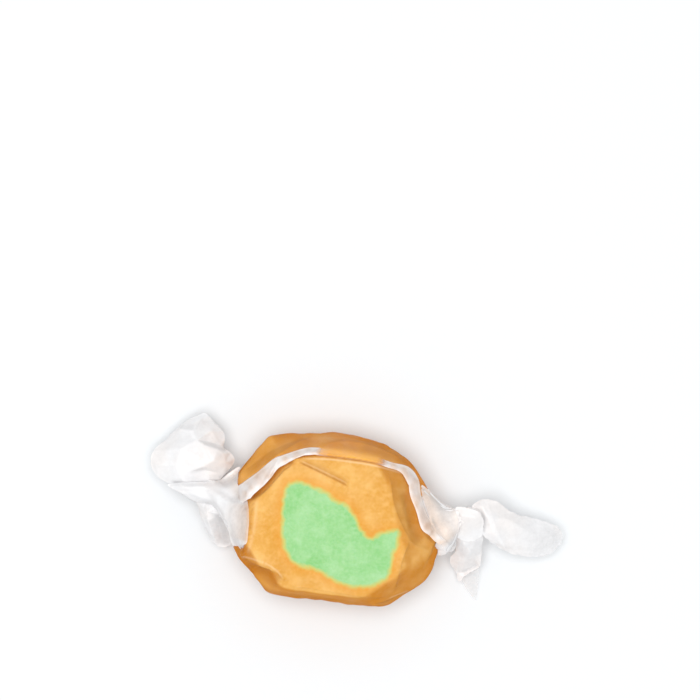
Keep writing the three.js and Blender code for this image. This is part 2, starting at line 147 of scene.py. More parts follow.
# Each end: its side along X, its neck's middle and radius, its folds, and two tables by degrees round X. The
# rim is how far out the paper clings at least, and the swell how far it bulges between there and the neck.
ENDS = {
    "left": {
        "side": -1, "neck": (-17.3, 3.6, 6.6), "radius": 1.6, "pleats": 12, "span_steps": 60,
        "rim": (
            (0, 13), (50, 13), (70, 12), (90, 11.5), (112, 11.7), (122, 12.5), (136, 13.6), (180, 14),
            (270, 12.4), (360, 13),
        ),
        "swell": (
            (0, -0.9), (60, -0.7), (90, -0.5), (130, -1), (160, -2.4), (200, -2.4), (240, -1.2),
            (300, -0.9), (360, -0.9),
        ),
    },
    "right": {
        "side": 1, "neck": (16.6, 0.3, 7.1), "radius": 1.35, "pleats": 12, "span_steps": 56,
        "rim": (
            (0, 12.2), (35, 11.4), (50, 10.8), (70, 11.5), (90, 12.2), (110, 13), (130, 13.5), (180, 13.4),
            (270, 12.2), (360, 12.2),
        ),
        "swell": (
            (0, -1.3), (60, -0.9), (90, -0.9), (130, 0.2), (165, 1.3), (200, 1), (250, -0.8), (300, -1),
            (360, -1.3),
        ),
    },
}
RIM_MARGIN = 0.3  # the paper leaves the taffy at least this far short of its end
NECK_TWIST = 0.16
SOFT_PLEAT, TIGHT_PLEAT = 0.28, 0.18  # how deep the folds are half way to the neck, and at the neck
TURNS = 360
ON_TAFFY_STEPS = 130


# ---- Noise and curves ----

HASH_TURNS = (127.1, 311.7, 74.7)  # how fast the hash's sine turns with each number and with the seed
HASH_SCALE = 43758.5453
LONG_BEND, SHORT_BEND = 0.3, 0.16  # how far the lattice of facets is bent, in cells
SLOW_DRIFT, QUICK_DRIFT = 0.33, 0.3  # how far pleats drift from even spacing, in pleats
PLEAT_MEAN, PLEAT_SPREAD = 0.55, 0.45
CURVE_STEPS = 6  # from each point of a fold's line to the next


def hashed(i, j, seed):
    """A repeatable value between -1 and 1 for each pair of whole numbers."""
    wave = np.sin(i * HASH_TURNS[0] + j * HASH_TURNS[1] + seed * HASH_TURNS[2]) * HASH_SCALE
    return 2 * (wave - np.floor(wave)) - 1


def eased(t):
    return t * t * (3 - 2 * t)


def smoothstep(x, low, high):
    return eased(np.clip((x - low) / (high - low), 0, 1))


def lattice(u, v, seed):
    """How far into its lattice cell each u and v is, and the random heights at the cell's four corners."""
    i, j = np.floor(u), np.floor(v)
    return u - i, v - j, [hashed(i + right, j + up, seed) for up in (0, 1) for right in (0, 1)]


def smooth_noise(u, v, seed):
    """Random heights joined by smooth steps. A lattice cell is one unit wide."""
    a, b, (h00, h10, h01, h11) = lattice(u, v, seed)
    a, b = eased(a), eased(b)
    low, high = h00 * (1 - a) + h10 * a, h01 * (1 - a) + h11 * a
    return low * (1 - b) + high * b


def facets(u, v, seed):
    """Random heights joined by flat triangles, like crumpled paper. A lattice cell is one unit wide, and is
    bent, so that the lattice's rows don't show."""
    u, v = (
        u + LONG_BEND * np.sin(1.7 * v + seed) + SHORT_BEND * np.sin(2.9 * u + 1.3 * v + 2 * seed),
        v + LONG_BEND * np.sin(1.9 * u + 2 * seed) + SHORT_BEND * np.sin(3.1 * v - 1.1 * u + seed),
    )
    a, b, (h00, h10, h01, h11) = lattice(u, v, seed)
    flip = hashed(np.floor(u), np.floor(v), seed + 9) > 0
    h00, h10 = np.where(flip, h10, h00), np.where(flip, h00, h10)
    h01, h11 = np.where(flip, h11, h01), np.where(flip, h01, h11)
    a = np.where(flip, 1 - a, a)
    below = h00 + (h10 - h00) * a + (h01 - h00) * b
    above = h11 + (h01 - h11) * (1 - a) + (h10 - h11) * (1 - b)
    return np.where(a + b < 1, below, above)


def pleats(turn, count, seed):
    """Folds round a full turn: an even count of uneven ridges and valleys, joined by flat flanks."""
    uneven = (turn * count + SLOW_DRIFT * np.sin(2 * math.pi * turn + seed)
              + QUICK_DRIFT * np.sin(6 * math.pi * turn + 2 * seed))
    step = np.floor(uneven)
    heights = []
    for knot in (np.mod(step, count), np.mod(step + 1, count)):
        sign = np.where(np.mod(knot, 2) > 0.5, 1.0, -1.0)
        heights.append(sign * (PLEAT_MEAN + PLEAT_SPREAD * hashed(knot, 0, seed)))
    part = uneven - step
    part = 0.5 * (part + eased(part))
    return heights[0] * (1 - part) + heights[1] * part


def looped(outline):
    """An outline with its first point again at its end."""
    return np.vstack([outline, outline[:1]])


def catmull_rom(points, per_span, closed=False):
    """A smooth curve through points, with this many steps from each to the next."""
    p = np.asarray(points, float)
    count = len(p)
    spans = count if closed else count - 1
    t = (np.arange(per_span) / per_span)[:, None]
    out = []
    for i in range(spans):
        if closed:
            a, b, c, d = (p[(i + k) % count] for k in (-1, 0, 1, 2))
        else:
            b, c = p[i], p[i + 1]
            a = p[i - 1] if i else 2 * b - c
            d = p[i + 2] if i + 2 < count else 2 * c - b
        out.append(0.5 * (2 * b + (c - a) * t + (2 * a - 5 * b + 4 * c - d) * t**2
                          + (3 * b - a - 3 * c + d) * t**3))
    if not closed:
        out.append(p[-1:])
    return np.vstack(out)


def resampled(points, count, closed=False):
    """This many points, evenly spaced along a line."""
    p = np.asarray(points, float)
    if closed:
        p = looped(p)
    along = np.concatenate([[0], np.cumsum(np.linalg.norm(np.diff(p, axis=0), axis=1))])
    wanted = np.linspace(0, along[-1], count + 1)[:-1] if closed else np.linspace(0, along[-1], count)
    return np.column_stack([np.interp(wanted, along, p[:, k]) for k in range(p.shape[1])])


def to_line(x, y, line):
    """Distance to a line, positive on its left, and the share of the way along it."""
    line = np.asarray(line, float)
    best = np.full(np.shape(x), np.inf)
    side = np.ones(np.shape(x))
    share = np.zeros(np.shape(x))
    lengths = np.linalg.norm(np.diff(line, axis=0), axis=1)
    total, before = lengths.sum(), 0.0
    for (ax, ay), (bx, by), length in zip(line[:-1], line[1:], lengths):
        ux, uy = (bx - ax) / length, (by - ay) / length
        t = np.clip((x - ax) * ux + (y - ay) * uy, 0, length)
        dx, dy = x - ax - t * ux, y - ay - t * uy
        d = np.hypot(dx, dy)
        nearer = d < best
        best = np.where(nearer, d, best)
        side = np.where(nearer, np.sign(ux * dy - uy * dx), side)
        share = np.where(nearer, (before + t) / total, share)
        before += length
    return best * side, share


def inside(x, y, outline):
    """True where a point is inside a closed outline."""
    result = np.zeros(np.shape(x), bool)
    for (ax, ay), (bx, by) in zip(outline, np.roll(outline, -1, axis=0)):
        crosses = (ay > y) != (by > y)
        with np.errstate(divide="ignore", invalid="ignore"):
            at = ax + (y - ay) * (bx - ax) / (by - ay)
        result ^= crosses & (x < at)
    return result


# ---- Meshes ----

SHARP_ANGLE = 62
WHOLE_HULL, WITHIN_EDGES = 0, 1  # what a triangulation fills
CLEARANCE = 0.6  # how far a flat mesh's inner points keep from its outline, in spacings


def linked(name, data):
    """A new object, linked to the scene."""
    obj = bpy.data.objects.new(name, data)
    bpy.context.scene.collection.objects.link(obj)
    return obj


def new_piece(name, points, faces, material, node, values):
    """A mesh from points in millimetres, which rides on the part's one body and replaces a node of the CAD
    model. values are named point attributes."""
    mesh = bpy.data.meshes.new(name)
    mesh.from_pydata((np.asarray(points) * MM).tolist(), [], [tuple(f) for f in faces])
    mesh.validate()
    for key, numbers in values.items():
        attribute = mesh.attributes.new(key, "FLOAT", "POINT")
        attribute.data.foreach_set("value", np.asarray(numbers, np.float32))
    mesh.polygons.foreach_set("use_smooth", [True] * len(mesh.polygons))
    mesh.set_sharp_from_angle(angle=math.radians(SHARP_ANGLE))
    mesh.materials.append(material)
    obj = linked(name, mesh)
    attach(obj, "root")
    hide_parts(node)


def new_paper(name, points, faces, material, values):
    new_piece(name, points, faces, material, "wax_paper_wrapper", values)


def grid_faces(rows, columns, wrap=False):
    """Quads of a grid of points, rows by columns. wrap joins each row's end to its start."""
    last = columns if wrap else columns - 1
    i, j = np.meshgrid(np.arange(rows - 1), np.arange(last), indexing="ij")
    a = i * columns + j
    b = i * columns + (j + 1) % columns
    return np.stack([a, b, b + columns, a + columns], axis=-1).reshape(-1, 4)


def hex_points(low, high, spacing):
    """Points of a triangular lattice in a box."""
    rows = np.arange(low[1], high[1], spacing * math.sqrt(0.75))
    columns = np.arange(low[0], high[0], spacing)
    x, y = np.meshgrid(columns, rows)
    x = x + (np.arange(len(rows)) % 2)[:, None] * spacing / 2
    return np.column_stack([x.ravel(), y.ravel()])


def triangulated(points, edges, fills, tolerance):
    """Triangles between flat points, with these edges among theirs, as lists of point numbers."""
    made = delaunay_2d_cdt([Vector(p) for p in points.tolist()], edges, [], fills, tolerance)
    original = [ids[0] if ids else -1 for ids in made[3]]
    return [[original[k] for k in face] for face in made[2]]


def flat_mesh(loops, interior):
    """Triangles over closed loops of points and the interior points between them. Returns the points in that
    order, and the triangles."""
    edges, start = [], 0
    for loop in loops:
        count = len(loop)
        edges += [(start + k, start + (k + 1) % count) for k in range(count)]
        start += count
    points = np.vstack([*loops, interior])
    triangles = np.array(triangulated(points, edges, WITHIN_EDGES, 1e-7))
    return points, triangles[(triangles >= 0).all(axis=1)]


def smoothed(heights, faces, rounds, held=False):
    """Heights averaged with their neighbours', which turns sharp creases into soft ones."""
    faces = np.asarray(faces)
    edges = np.vstack([faces[:, [k, (k + 1) % faces.shape[1]]] for k in range(faces.shape[1])])
    a, b = np.unique(np.sort(edges, axis=1), axis=0).T
    degree = np.maximum(np.bincount(np.concatenate([a, b]), minlength=len(heights)), 1)
    out = heights.copy()
    for _ in range(rounds):
        total = np.bincount(a, out[b], len(out)) + np.bincount(b, out[a], len(out))
        out = np.where(held, out, 0.5 * (out + total / degree))
    return out


# ---- The taffy ----


def normalised(v):
    return v / np.linalg.norm(v, axis=1)[:, None]


def unit_at(facing, elevation):
    """The direction that faces this way in degrees, at an elevation in radians."""
    facing, level = math.radians(facing), math.cos(elevation)
    return level * math.cos(facing), level * math.sin(facing), math.sin(elevation)


def taffy_planes():
    """The planes that shape the taffy: each one's outward direction, and its distance from CENTRE_POINT."""
    rise, drop = FACE_EDGE_HEIGHT - WAIST_HEIGHT, WAIST_HEIGHT - FOOT_EDGE_HEIGHT
    under = math.atan2(FOOT_INSET, drop)
    planes = []
    for facing, reach, inset in SIDES:
        bevel = math.atan2(inset, BEVEL_DROP)
        foot = reach - FOOT_INSET
        planes += [
            (*unit_at(facing, 0), reach),
            (*unit_at(facing, bevel), (reach - inset) * math.cos(bevel) + rise * math.sin(bevel)),
            (*unit_at(facing, -under), foot * math.cos(under) + drop * math.sin(under)),
        ]
    for facing, tip in FACE_PLANES:
        planes.append((*unit_at(facing, math.pi / 2 - math.radians(tip)), TAFFY_HEIGHT - WAIST_HEIGHT))
    planes.append((0, 0, -1, WAIST_HEIGHT + FOOT_SETTLED))
    return np.array(planes)


PLANES = taffy_planes()


def plane_shares(directions):
    """How strongly each plane shapes the taffy in these directions."""
    return np.clip(directions @ PLANES[:, :3].T / PLANES[:, 3], 0, None) ** CREASE_SHARPNESS


def taffy_radius(directions):
    return plane_shares(directions).sum(axis=1) ** (-1 / CREASE_SHARPNESS)


def upward_facing(directions):
    """How far the taffy faces up: 1 straight up, 0 sideways and -1 straight down."""
    return normalised(plane_shares(directions) @ PLANES[:, :3])[:, 2]


def smooth_lines(rows):
    """Rows that start with a line, with a smooth curve in each line's place."""
    return [(catmull_rom(line, CURVE_STEPS), *rest) for line, *rest in rows]


CREASE_CURVES, HOLLOW_CURVES = smooth_lines(CREASES), smooth_lines(HOLLOWS)
CREASE_FADE, HOLLOW_FADE, MARK_FADE = 0.14, 0.2, 0.12  # share of a line over which it fades in and out
CREASE_SLOPE = 1.3  # how fast a crease falls away over its reach


def across_line(x, y, line, left, right, fade):
    """How far each x and y is from a line, as a share of its reach on that side, and how far the line has
    faded in there."""
    away, share = to_line(x, y, line)
    faded = smoothstep(share, 0, fade) * (1 - smoothstep(share, 1 - fade, 1))
    return np.abs(away) / np.where(away > 0, left, right), faded


def pressed(x, y):
    """How far the creases and hollows move the upper face out at each x and y."""
    relief = np.zeros(np.shape(x))
    for line, height, left, right in CREASE_CURVES:
        away, faded = across_line(x, y, line, left, right, CREASE_FADE)
        relief += height * faded * np.exp(-away * CREASE_SLOPE)
    for line, depth, reach in HOLLOW_CURVES:
        away, faded = across_line(x, y, line, reach, reach, HOLLOW_FADE)
        relief -= depth * faded * np.exp(-(away**2))
    return relief


def folds_at(lines, x, y):
    """How strongly folds mark each x and y, from 0 to 1."""
    mark = np.zeros(np.shape(x))
    for line, left, right, strength in smooth_lines(lines):
        away, faded = across_line(x, y, line, left, right, MARK_FADE)
        mark = np.maximum(mark, strength * faded * np.exp(-(away**2)))
    return mark


def end_folds(point):
    """Folds over the body's ends, which run towards the twists and fade towards the body's middle."""
    out = np.zeros(len(point))
    for end in ENDS.values():
        along = smoothstep(end["side"] * point[:, 0], BODY_FOLD_START, BODY_FOLD_FULL)
        turn = np.arctan2(point[:, 2], point[:, 1]) / (2 * math.pi)
        wound = turn + BODY_FOLD_WIND * point[:, 0] / BODY_REACH
        out += along * pleats(wound, 2 * BODY_FOLDS, 5 + end["side"])
    return out


def crumpled(u, v, finer, seed, finer_seed):
    """Facets with half as deep ones on them, which are this many times finer."""
    return facets(u, v, seed) + 0.5 * facets(u * finer, v * finer, finer_seed)


def taffy_point(directions, outward=0.0):
    """The taffy's surface in these directions from CENTRE_POINT, with its creases and crumples."""
    radius = taffy_radius(directions)
    point = directions * radius[:, None]
    x, y, z = point[:, 0], point[:, 1], point[:, 2]
    upward = smoothstep(directions[:, 2], FACE_START, FACE_FULL)
    cell, around = CRUMPLE_CELL, np.arctan2(y, x) * BODY_REACH
    top = crumpled(x / cell, y / cell, 2.3, 3, 5)
    side = crumpled(around / cell, z / cell, 2.2, 11, 12)
    crumple = FACE_CRUMPLE * top * upward + SIDE_CRUMPLE * side * (1 - upward)
    radius = radius + CRUMPLE * crumple + pressed(x, y) * upward + outward
    radius = radius + BODY_FOLD_DEPTH * end_folds(point) * (1 - FACE_SMOOTHNESS * upward)
    down = np.clip(-directions[:, 2], 1e-9, None)
    to_floor = (WAIST_HEIGHT - FOOT_LIFT + outward) / down
    radius = np.where(directions[:, 2] < 0, np.minimum(radius, to_floor), radius)
    return CENTRE_POINT + directions * radius[:, None]


RIM_RADIUS = 11.0  # where the fine mesh turns from the face's triangles to the sides' rings
RIM_RISE = TAFFY_HEIGHT - WAIST_HEIGHT
RIM_POINTS = 480
FINE, COARSE = 0.135, 0.55  # the spacing of the upper face's points, and of the lower one's
OUTLINE_SPACING = 0.25  # the widest spacing that counts for the points beside the green outline
SIDE_STEP = 0.2
SETTLING_ROUNDS = 40


def towards(flat, height):
    """Directions from CENTRE_POINT to flat points at this height over it."""
    return normalised(np.column_stack([flat, np.full(len(flat), height)]))


def laid_flat(xy):
    """Where the face's point over each x and y lies when the face is laid flat at RIM_RISE. The taffy's own
    height there is found by tipping a ray from CENTRE_POINT."""
    rise = np.full(len(xy), RIM_RISE)
    for _ in range(SETTLING_ROUNDS):
        ray = np.column_stack([xy, rise])
        length = np.linalg.norm(ray, axis=1)
        rise = rise * taffy_radius(ray / length[:, None]) / length
    return xy * (RIM_RISE / rise)[:, None]


def taffy_shell(outline, ring, spacing, height):
    """One end of the taffy inside a flat ring at this height over CENTRE_POINT: its points, the triangles
    inside the outline, and those outside it."""
    interior = hex_points((-RIM_RADIUS, -RIM_RADIUS), (RIM_RADIUS, RIM_RADIUS), spacing)
    interior = interior[np.hypot(*interior.T) < RIM_RADIUS - CLEARANCE * spacing]
    away, _ = to_line(interior[:, 0], interior[:, 1], looped(outline))
    interior = interior[np.abs(away) > CLEARANCE * min(spacing, OUTLINE_SPACING)]
    points, triangles = flat_mesh([outline, ring], interior)
    middle = points[triangles].mean(axis=1)
    within = inside(middle[:, 0], middle[:, 1], outline)
    return taffy_point(towards(points, height)), triangles[within], triangles[~within]


def compact(faces):
    """The numbers of the points that arrays of faces use, and the faces with those points' new numbers."""
    used, index = np.unique(np.concatenate([f.ravel() for f in faces]), return_inverse=True)
    parts = np.split(index, np.cumsum([f.size for f in faces])[:-1])
    return used, [part.reshape(f.shape) for part, f in zip(parts, faces)]


MARKS_START, MARKS_FULL = 0.06, 0.2  # how far the taffy faces up where the folds' marks start, and are full
STEEP, LEVEL = 0.2, 0.97  # how far it faces up or down where it counts as steep, and as level


def taffy_marks(points, outline):
    """The point attributes that the taffy's colours follow."""
    x, y = points[:, 0], points[:, 1]
    away, _ = to_line(x, y, looped(outline))
    facing = upward_facing(normalised(points - CENTRE_POINT))
    marked = smoothstep(facing, MARKS_START, MARKS_FULL)
    return {
        "edge_distance": np.abs(away) * np.where(inside(x, y, outline), -1, 1),
        # how steep the taffy is, which its painted side shade follows
        "steepness": 1 - smoothstep(np.abs(facing), STEEP, LEVEL),
        # painted light on the folds that face up
        "painted_fold_light": folds_at(LIT_FOLDS, x, y) * marked,
        # painted shadow along the paper's folds
        "painted_shadow": folds_at(FOLD_SHADOWS, x, y) * marked,
        # painted highlights where the paper's folds and edges catch the light
        "paleness": folds_at(PALE_LINES, x, y) * marked,
    }


def build_taffy(caramel, green):
    outline = resampled(catmull_rom(CENTRE_OUTLINE, 12, closed=True), CENTRE_STEPS, closed=True)
    angle = 2 * math.pi * np.arange(RIM_POINTS) / RIM_POINTS
    ring = np.column_stack([np.cos(angle), np.sin(angle)]) * RIM_RADIUS
    upper, upper_in, upper_out = taffy_shell(laid_flat(outline), ring, FINE, RIM_RISE)
    lower, lower_in, lower_out = taffy_shell(outline, ring, COARSE, -WAIST_HEIGHT)
    drops = np.linspace(0, RIM_RISE + WAIST_HEIGHT, int((RIM_RISE + WAIST_HEIGHT) / SIDE_STEP))[1:-1]
    points = np.vstack([upper, lower, *(taffy_point(towards(ring, RIM_RISE - drop)) for drop in drops)])
    first_lower, first_side = len(upper), len(upper) + len(lower)
    upper_ring = CENTRE_STEPS + np.arange(RIM_POINTS)
    side_rings = first_side + np.arange(len(drops) * RIM_POINTS).reshape(-1, RIM_POINTS)
    rings = np.vstack([upper_ring, side_rings, first_lower + upper_ring])
    after = np.roll(rings, -1, axis=1)
    sides = np.stack([rings[:-1], rings[1:], after[1:], after[:-1]], axis=-1).reshape(-1, 4)
    loop = np.arange(CENTRE_STEPS)  # the outline's points, clockwise
    ahead = np.roll(loop, -1)
    wall = np.stack([loop + first_lower, ahead + first_lower, ahead, loop], axis=-1)

    values = taffy_marks(points, outline)
    for name, faces, material, slot_name, node in (
        ("caramel_taffy", (upper_out, lower_out[:, ::-1] + first_lower, sides, wall), caramel,
         "taffy_caramel", "taffy_caramel"),
        ("green_taffy_centre", (upper_in, lower_in[:, ::-1] + first_lower, wall[:, ::-1]), green,
         "taffy_green", "taffy_green_centre"),
    ):
        used, faces = compact(faces)
        rows = [face for f in faces for face in f.tolist()]
        own = {key: numbers[used] for key, numbers in values.items()}
        new_piece(name, points[used], rows, material, node, own)


# ---- The wrapping sheet ----

# Its loose outer edge. Each row is a point of the free edge, the point beyond it where the paper clings
# again, how far the free edge and the middle of the strip stand off, and how white the strip is there.
LOOSE_EDGE = (
    ((-13.3, 2.4), (-13.9, 4.2), 0.2, 0.3, 0.9),
    ((-12.3, 2.6), (-12.9, 4.75), 0.6, 0.6, 0.92),
    ((-11.4, 3.1), (-11.7, 5.6), 1, 1, 0.92),
    ((-9.9, 4.4), (-10.1, 6.8), 1.1, 1, 0.91),
    ((-8.5, 5.9), (-8.3, 8.3), 1.1, 0.9, 0.91),
    ((-7.7, 7), (-6.9, 8.85), 0.9, 0.8, 0.9),
    ((-6.4, 7.75), (-5.2, 9.4), 0.7, 0.6, 0.86),
    ((-4.9, 8.55), (-3.7, 9.75), 0.5, 0.4, 0.86),
    ((-3.2, 8.85), (-2.4, 9.75), 0.42, 0.3, 0.72),
    ((-2, 8.7), (-1.6, 9.6), 0.38, 0.2, 0.1),
    ((0.8, 8.35), (1.2, 9.4), 0.35, 0.2, 0),
    ((3, 8), (3.4, 9.1), 0.35, 0.2, 0),
    ((5.3, 7.6), (5.7, 8.4), 0.35, 0.2, 0.05),
    ((6.8, 7.15), (7.3, 7.8), 0.4, 0.25, 0.75),
    ((8.5, 6.4), (9.6, 7.1), 0.5, 0.35, 0.9),
    ((9.4, 5), (10.9, 5.5), 0.6, 0.5, 0.84),
    ((9.9, 3.1), (11.25, 3.4), 0.7, 0.6, 0.82),
    ((10.6, 1.1), (11.8, 1.4), 0.7, 0.6, 0.8),
    ((11.3, -1), (12.6, -0.1), 0.7, 0.6, 0.76),
    ((12.4, -2.1), (13.7, -1.4), 0.6, 0.5, 0.86),
    ((13.6, -3.3), (14.9, -2.6), 0.5, 0.4, 0.9),
)
MERIDIAN_GAP, MERIDIAN_POINTS = 0.05, 500
LEAST_ACROSS, LEAST_HEIGHT = 0.5, 0.02  # how near the sheet comes to its own axis and to the ground


def table_at(table, degrees):
    """A value between a table's rows, which are degrees and values, with smooth steps from row to row."""
    result = np.zeros(np.shape(degrees))
    for (a, low), (b, high) in zip(table[:-1], table[1:]):
        within = (degrees >= a) & (degrees <= b)
        result = np.where(within, low + (high - low) * smoothstep(degrees, a, b), result)
    return result


def leaving_point(line, end, degrees):
    """The number of the point of a line over the taffy where the paper leaves it for an end's neck: where the
    way to the neck is the steepest, beyond the rim."""
    reach = abs(end["neck"][0])
    out = line[:, 0] * end["side"]
    slope = np.arctan2(line[:, 1] - end["radius"], reach - out)
    least = min(table_at(end["rim"], degrees)[0], out.max() - RIM_MARGIN)
    slope[(out < least) | (out > reach - RIM_MARGIN)] = -math.inf
    return int(np.argmax(slope))


def span_to_neck(end, start):
    """The straight way from an end's neck to the point before the one where the paper leaves the taffy. Each
    row is how far it is along X and from the axis, and how near the neck, from 1 to 0."""
    t = np.linspace(1, 0, end["span_steps"] + 1)[:, None]
    neck = np.array([end["neck"][0], end["radius"]])
    return np.column_stack([neck * t + start * (1 - t), t])[:-1]


def wrap_meridian(turn):
    """The sheet's path over the taffy at this turn round X, from the right neck to the left one, in the rows
    of span_to_neck."""
    angle = np.linspace(MERIDIAN_GAP, math.pi - MERIDIAN_GAP, MERIDIAN_POINTS)
    y, z = np.sin(angle) * math.cos(turn), np.sin(angle) * math.sin(turn)
    surface = taffy_point(np.column_stack([np.cos(angle), y, z]), PAPER_OFFSET) - CENTRE_POINT
    line = np.column_stack([surface[:, 0], np.hypot(surface[:, 1], surface[:, 2])])
    degrees = np.array([math.degrees(turn) % 360])
    first, last = (leaving_point(line, ENDS[name], degrees) for name in ("right", "left"))
    middle = resampled(line[first:last + 1], ON_TAFFY_STEPS)
    return np.vstack([
        span_to_neck(ENDS["right"], line[first]),
        np.column_stack([middle, np.zeros(ON_TAFFY_STEPS)]),
        span_to_neck(ENDS["left"], line[last])[::-1],
    ])


def wrap_sheet():
    """Points of the sheet that wraps the taffy, as turns by stations, and how near a neck each one is."""
    turns = 2 * math.pi * np.arange(TURNS) / TURNS
    x, across, t = np.moveaxis([wrap_meridian(turn) for turn in turns], -1, 0)
    turn = turns[:, None] * np.ones(t.shape)
    degrees = np.degrees(turn) % 360
    shift_y, shift_z, relief = np.zeros((3, *t.shape))
    for end in ENDS.values():
        side, (_, neck_y, neck_z) = end["side"], end["neck"]
        here = x * side > 0
        wound = turn / (2 * math.pi) + NECK_TWIST * t * t
        soft = SOFT_PLEAT * np.sin(math.pi * t**0.8) * pleats(wound, end["pleats"], 31 + side)
        tight = TIGHT_PLEAT * smoothstep(t, 0.35, 1) * pleats(wound, end["pleats"] + 4, 41 + side)
        swell = table_at(end["swell"], degrees) * np.sin(math.pi * t)
        relief = np.where(here, soft + tight + swell, relief)
        shift_y = np.where(here, neck_y * eased(t), shift_y)
        shift_z = np.where(here, (neck_z - WAIST_HEIGHT) * eased(t), shift_z)
    across = np.clip(across + relief, LEAST_ACROSS, None)
    y = across * np.cos(turn) + shift_y
    z = across * np.sin(turn) + shift_z + WAIST_HEIGHT
    return np.stack([x, y, np.maximum(z, LEAST_HEIGHT)], axis=-1), t


CLING, OUTER_LAYER = 0.012, 0.02  # how white the paper is where it clings, and where it lies double
BAND_VEIL, BAND_REACH = 0.055, 4.5  # how much whiter the double layer is at X = 0, and how far that reaches
CLOUD, CLOUD_CELL = 0.01, 1.7  # how strong and how wide its random patches are
SPAN_WHITE, NECK_WHITE = 0.80, 0.98  # how white it is where it leaves the taffy, and at the necks
WHITE_EDGE = 0.035  # share of the way to the neck over which it turns white


def whiteness(points, t):
    """How white the paper looks. It is nearly clear where it clings, and white where it leaves the taffy."""
    x, y, z = points.T
    away, _ = to_line(x, y, np.array([free for free, *_ in LOOSE_EDGE]))
    double = smoothstep(away, -0.1, 0.15) * (z > WAIST_HEIGHT)
    outer = OUTER_LAYER + BAND_VEIL * np.exp(-((x / BAND_REACH) ** 2))
    clouds = CLOUD * smooth_noise(x / CLOUD_CELL, y / CLOUD_CELL, 31)
    clinging = CLING + (outer - CLING) * double + clouds
    spanning = SPAN_WHITE + (NECK_WHITE - SPAN_WHITE) * smoothstep(t, 0.05, 0.6)
    return clinging + (spanning - clinging) * smoothstep(t, 0, WHITE_EDGE)


def build_wrap(material):
    points, t = wrap_sheet()
    flat = points.reshape(-1, 3)
    faces = grid_faces(TURNS + 1, points.shape[1]) % len(flat)  # the last turn joins the first
    new_paper("wrapping_sheet", flat, faces.tolist(), material, {"whiteness": whiteness(flat, t.ravel())})
    return flat, faces


# ---- Sheets of paper with folds ----

PAPER_SPACING = 0.13
SKY = 60.0  # where rays start that look for the paper below
DRAPE_FALLBACK, DRAPE_ROUNDS = 5.0, 18
FLAT_AREA = 1e-6  # a triangle with less than this has no height of its own
EDGE_WAVES = 46  # round the cut edge of a piece
PAPER_CRUMPLE = ((2.1, 1.0), (0.9, 0.5), (0.42, 0.22))  # the width and the depth of each size of facet
EDGE_FADE, PUFF_FADE = 0.35, 0.9  # how far in from the edge crumples and puffs come to their full depth
LEAST_UPPER = 0.15  # the lowest height of a piece's upper sheet
SAG_CELL, SAG_ROUNDS, SAG_LEAST = 1.7, 40, 0.1
SHEET_GAP, GROUND_GAP = 0.12, 0.05  # what a lower sheet keeps from its upper one and from the ground


def surface_of(sheets):
    """Several sheets, each as points and faces, as one surface to find heights on."""
    points, faces, start = [], [], 0
    for sheet_points, sheet_faces in sheets:
        points += sheet_points.tolist()
        faces += (sheet_faces + start).tolist()
        start += len(sheet_points)
    return BVHTree.FromPolygons(points, faces)


def over(tree, xy, fallback):
    """The height of the wrapped taffy over each x and y, or the fallback where there is none."""
    hits = [tree.ray_cast(Vector((x, y, SKY)), Vector((0, 0, -1)))[0] for x, y in xy]
    return np.array([fallback if hit is None else hit.z for hit in hits])


def folded_heights(xy, corners, lines):
    """Heights over the flat triangles between corners. corners are x, y, z, and lines are the folds that the
    triangles' edges keep to, as pairs of corner numbers."""
    best = np.full(len(xy), -1e9)
    height = np.zeros(len(xy))
    for face in triangulated(corners[:, :2], lines, WHOLE_HULL, FLAT_AREA):
        a, b, c = corners[face]
        det = (b[0] - a[0]) * (c[1] - a[1]) - (c[0] - a[0]) * (b[1] - a[1])
        if abs(det) < FLAT_AREA:
            continue
        v = ((xy[:, 0] - a[0]) * (c[1] - a[1]) - (c[0] - a[0]) * (xy[:, 1] - a[1])) / det
        w = ((b[0] - a[0]) * (xy[:, 1] - a[1]) - (xy[:, 0] - a[0]) * (b[1] - a[1])) / det
        least = np.minimum(np.minimum(1 - v - w, v), w)
        here = a[2] * (1 - v - w) + b[2] * v + c[2] * w
        clipped = np.clip(here, corners[:, 2].min(), corners[:, 2].max())
        height = np.where(least > best, clipped, height)
        best = np.maximum(best, least)
    return height


def wavy_outline(outline, steps, rough, seed):
    """A smooth closed line through an outline's corners, with the small waves of a cut paper edge."""
    dense = resampled(catmull_rom(outline, 8, closed=True), steps, closed=True)
    along = np.arange(steps) / steps
    outward = dense[:, :2] - dense[:, :2].mean(axis=0)
    outward /= np.linalg.norm(outward, axis=1)[:, None]
    dense[:, :2] += outward * (facets(along * EDGE_WAVES, 0.5, seed) * rough)[:, None]
    return dense


def filled(outline, spacing):
    """Points and triangles that fill a closed outline, and how far in each point is."""
    interior = hex_points(outline.min(axis=0), outline.max(axis=0), spacing)
    interior = interior[inside(interior[:, 0], interior[:, 1], outline)]
    away, _ = to_line(interior[:, 0], interior[:, 1], looped(outline))
    points, triangles = flat_mesh([outline], interior[np.abs(away) > CLEARANCE * spacing])
    centre = points[triangles].mean(axis=1)
    triangles = triangles[inside(centre[:, 0], centre[:, 1], outline)]
    depth = np.abs(to_line(points[:, 0], points[:, 1], looped(outline))[0])
    depth[:len(outline)] = 0
    return points, triangles, depth


def spanned(points, triangles, edge, corners, folds, rounds):
    """Heights between a piece's edge, which they keep to, and its corners, with the folds made softer."""
    height = folded_heights(points, corners, folds)
    height[:len(edge)] = edge[:, 2]
    return smoothed(height, triangles, rounds, np.arange(len(points)) < len(edge))


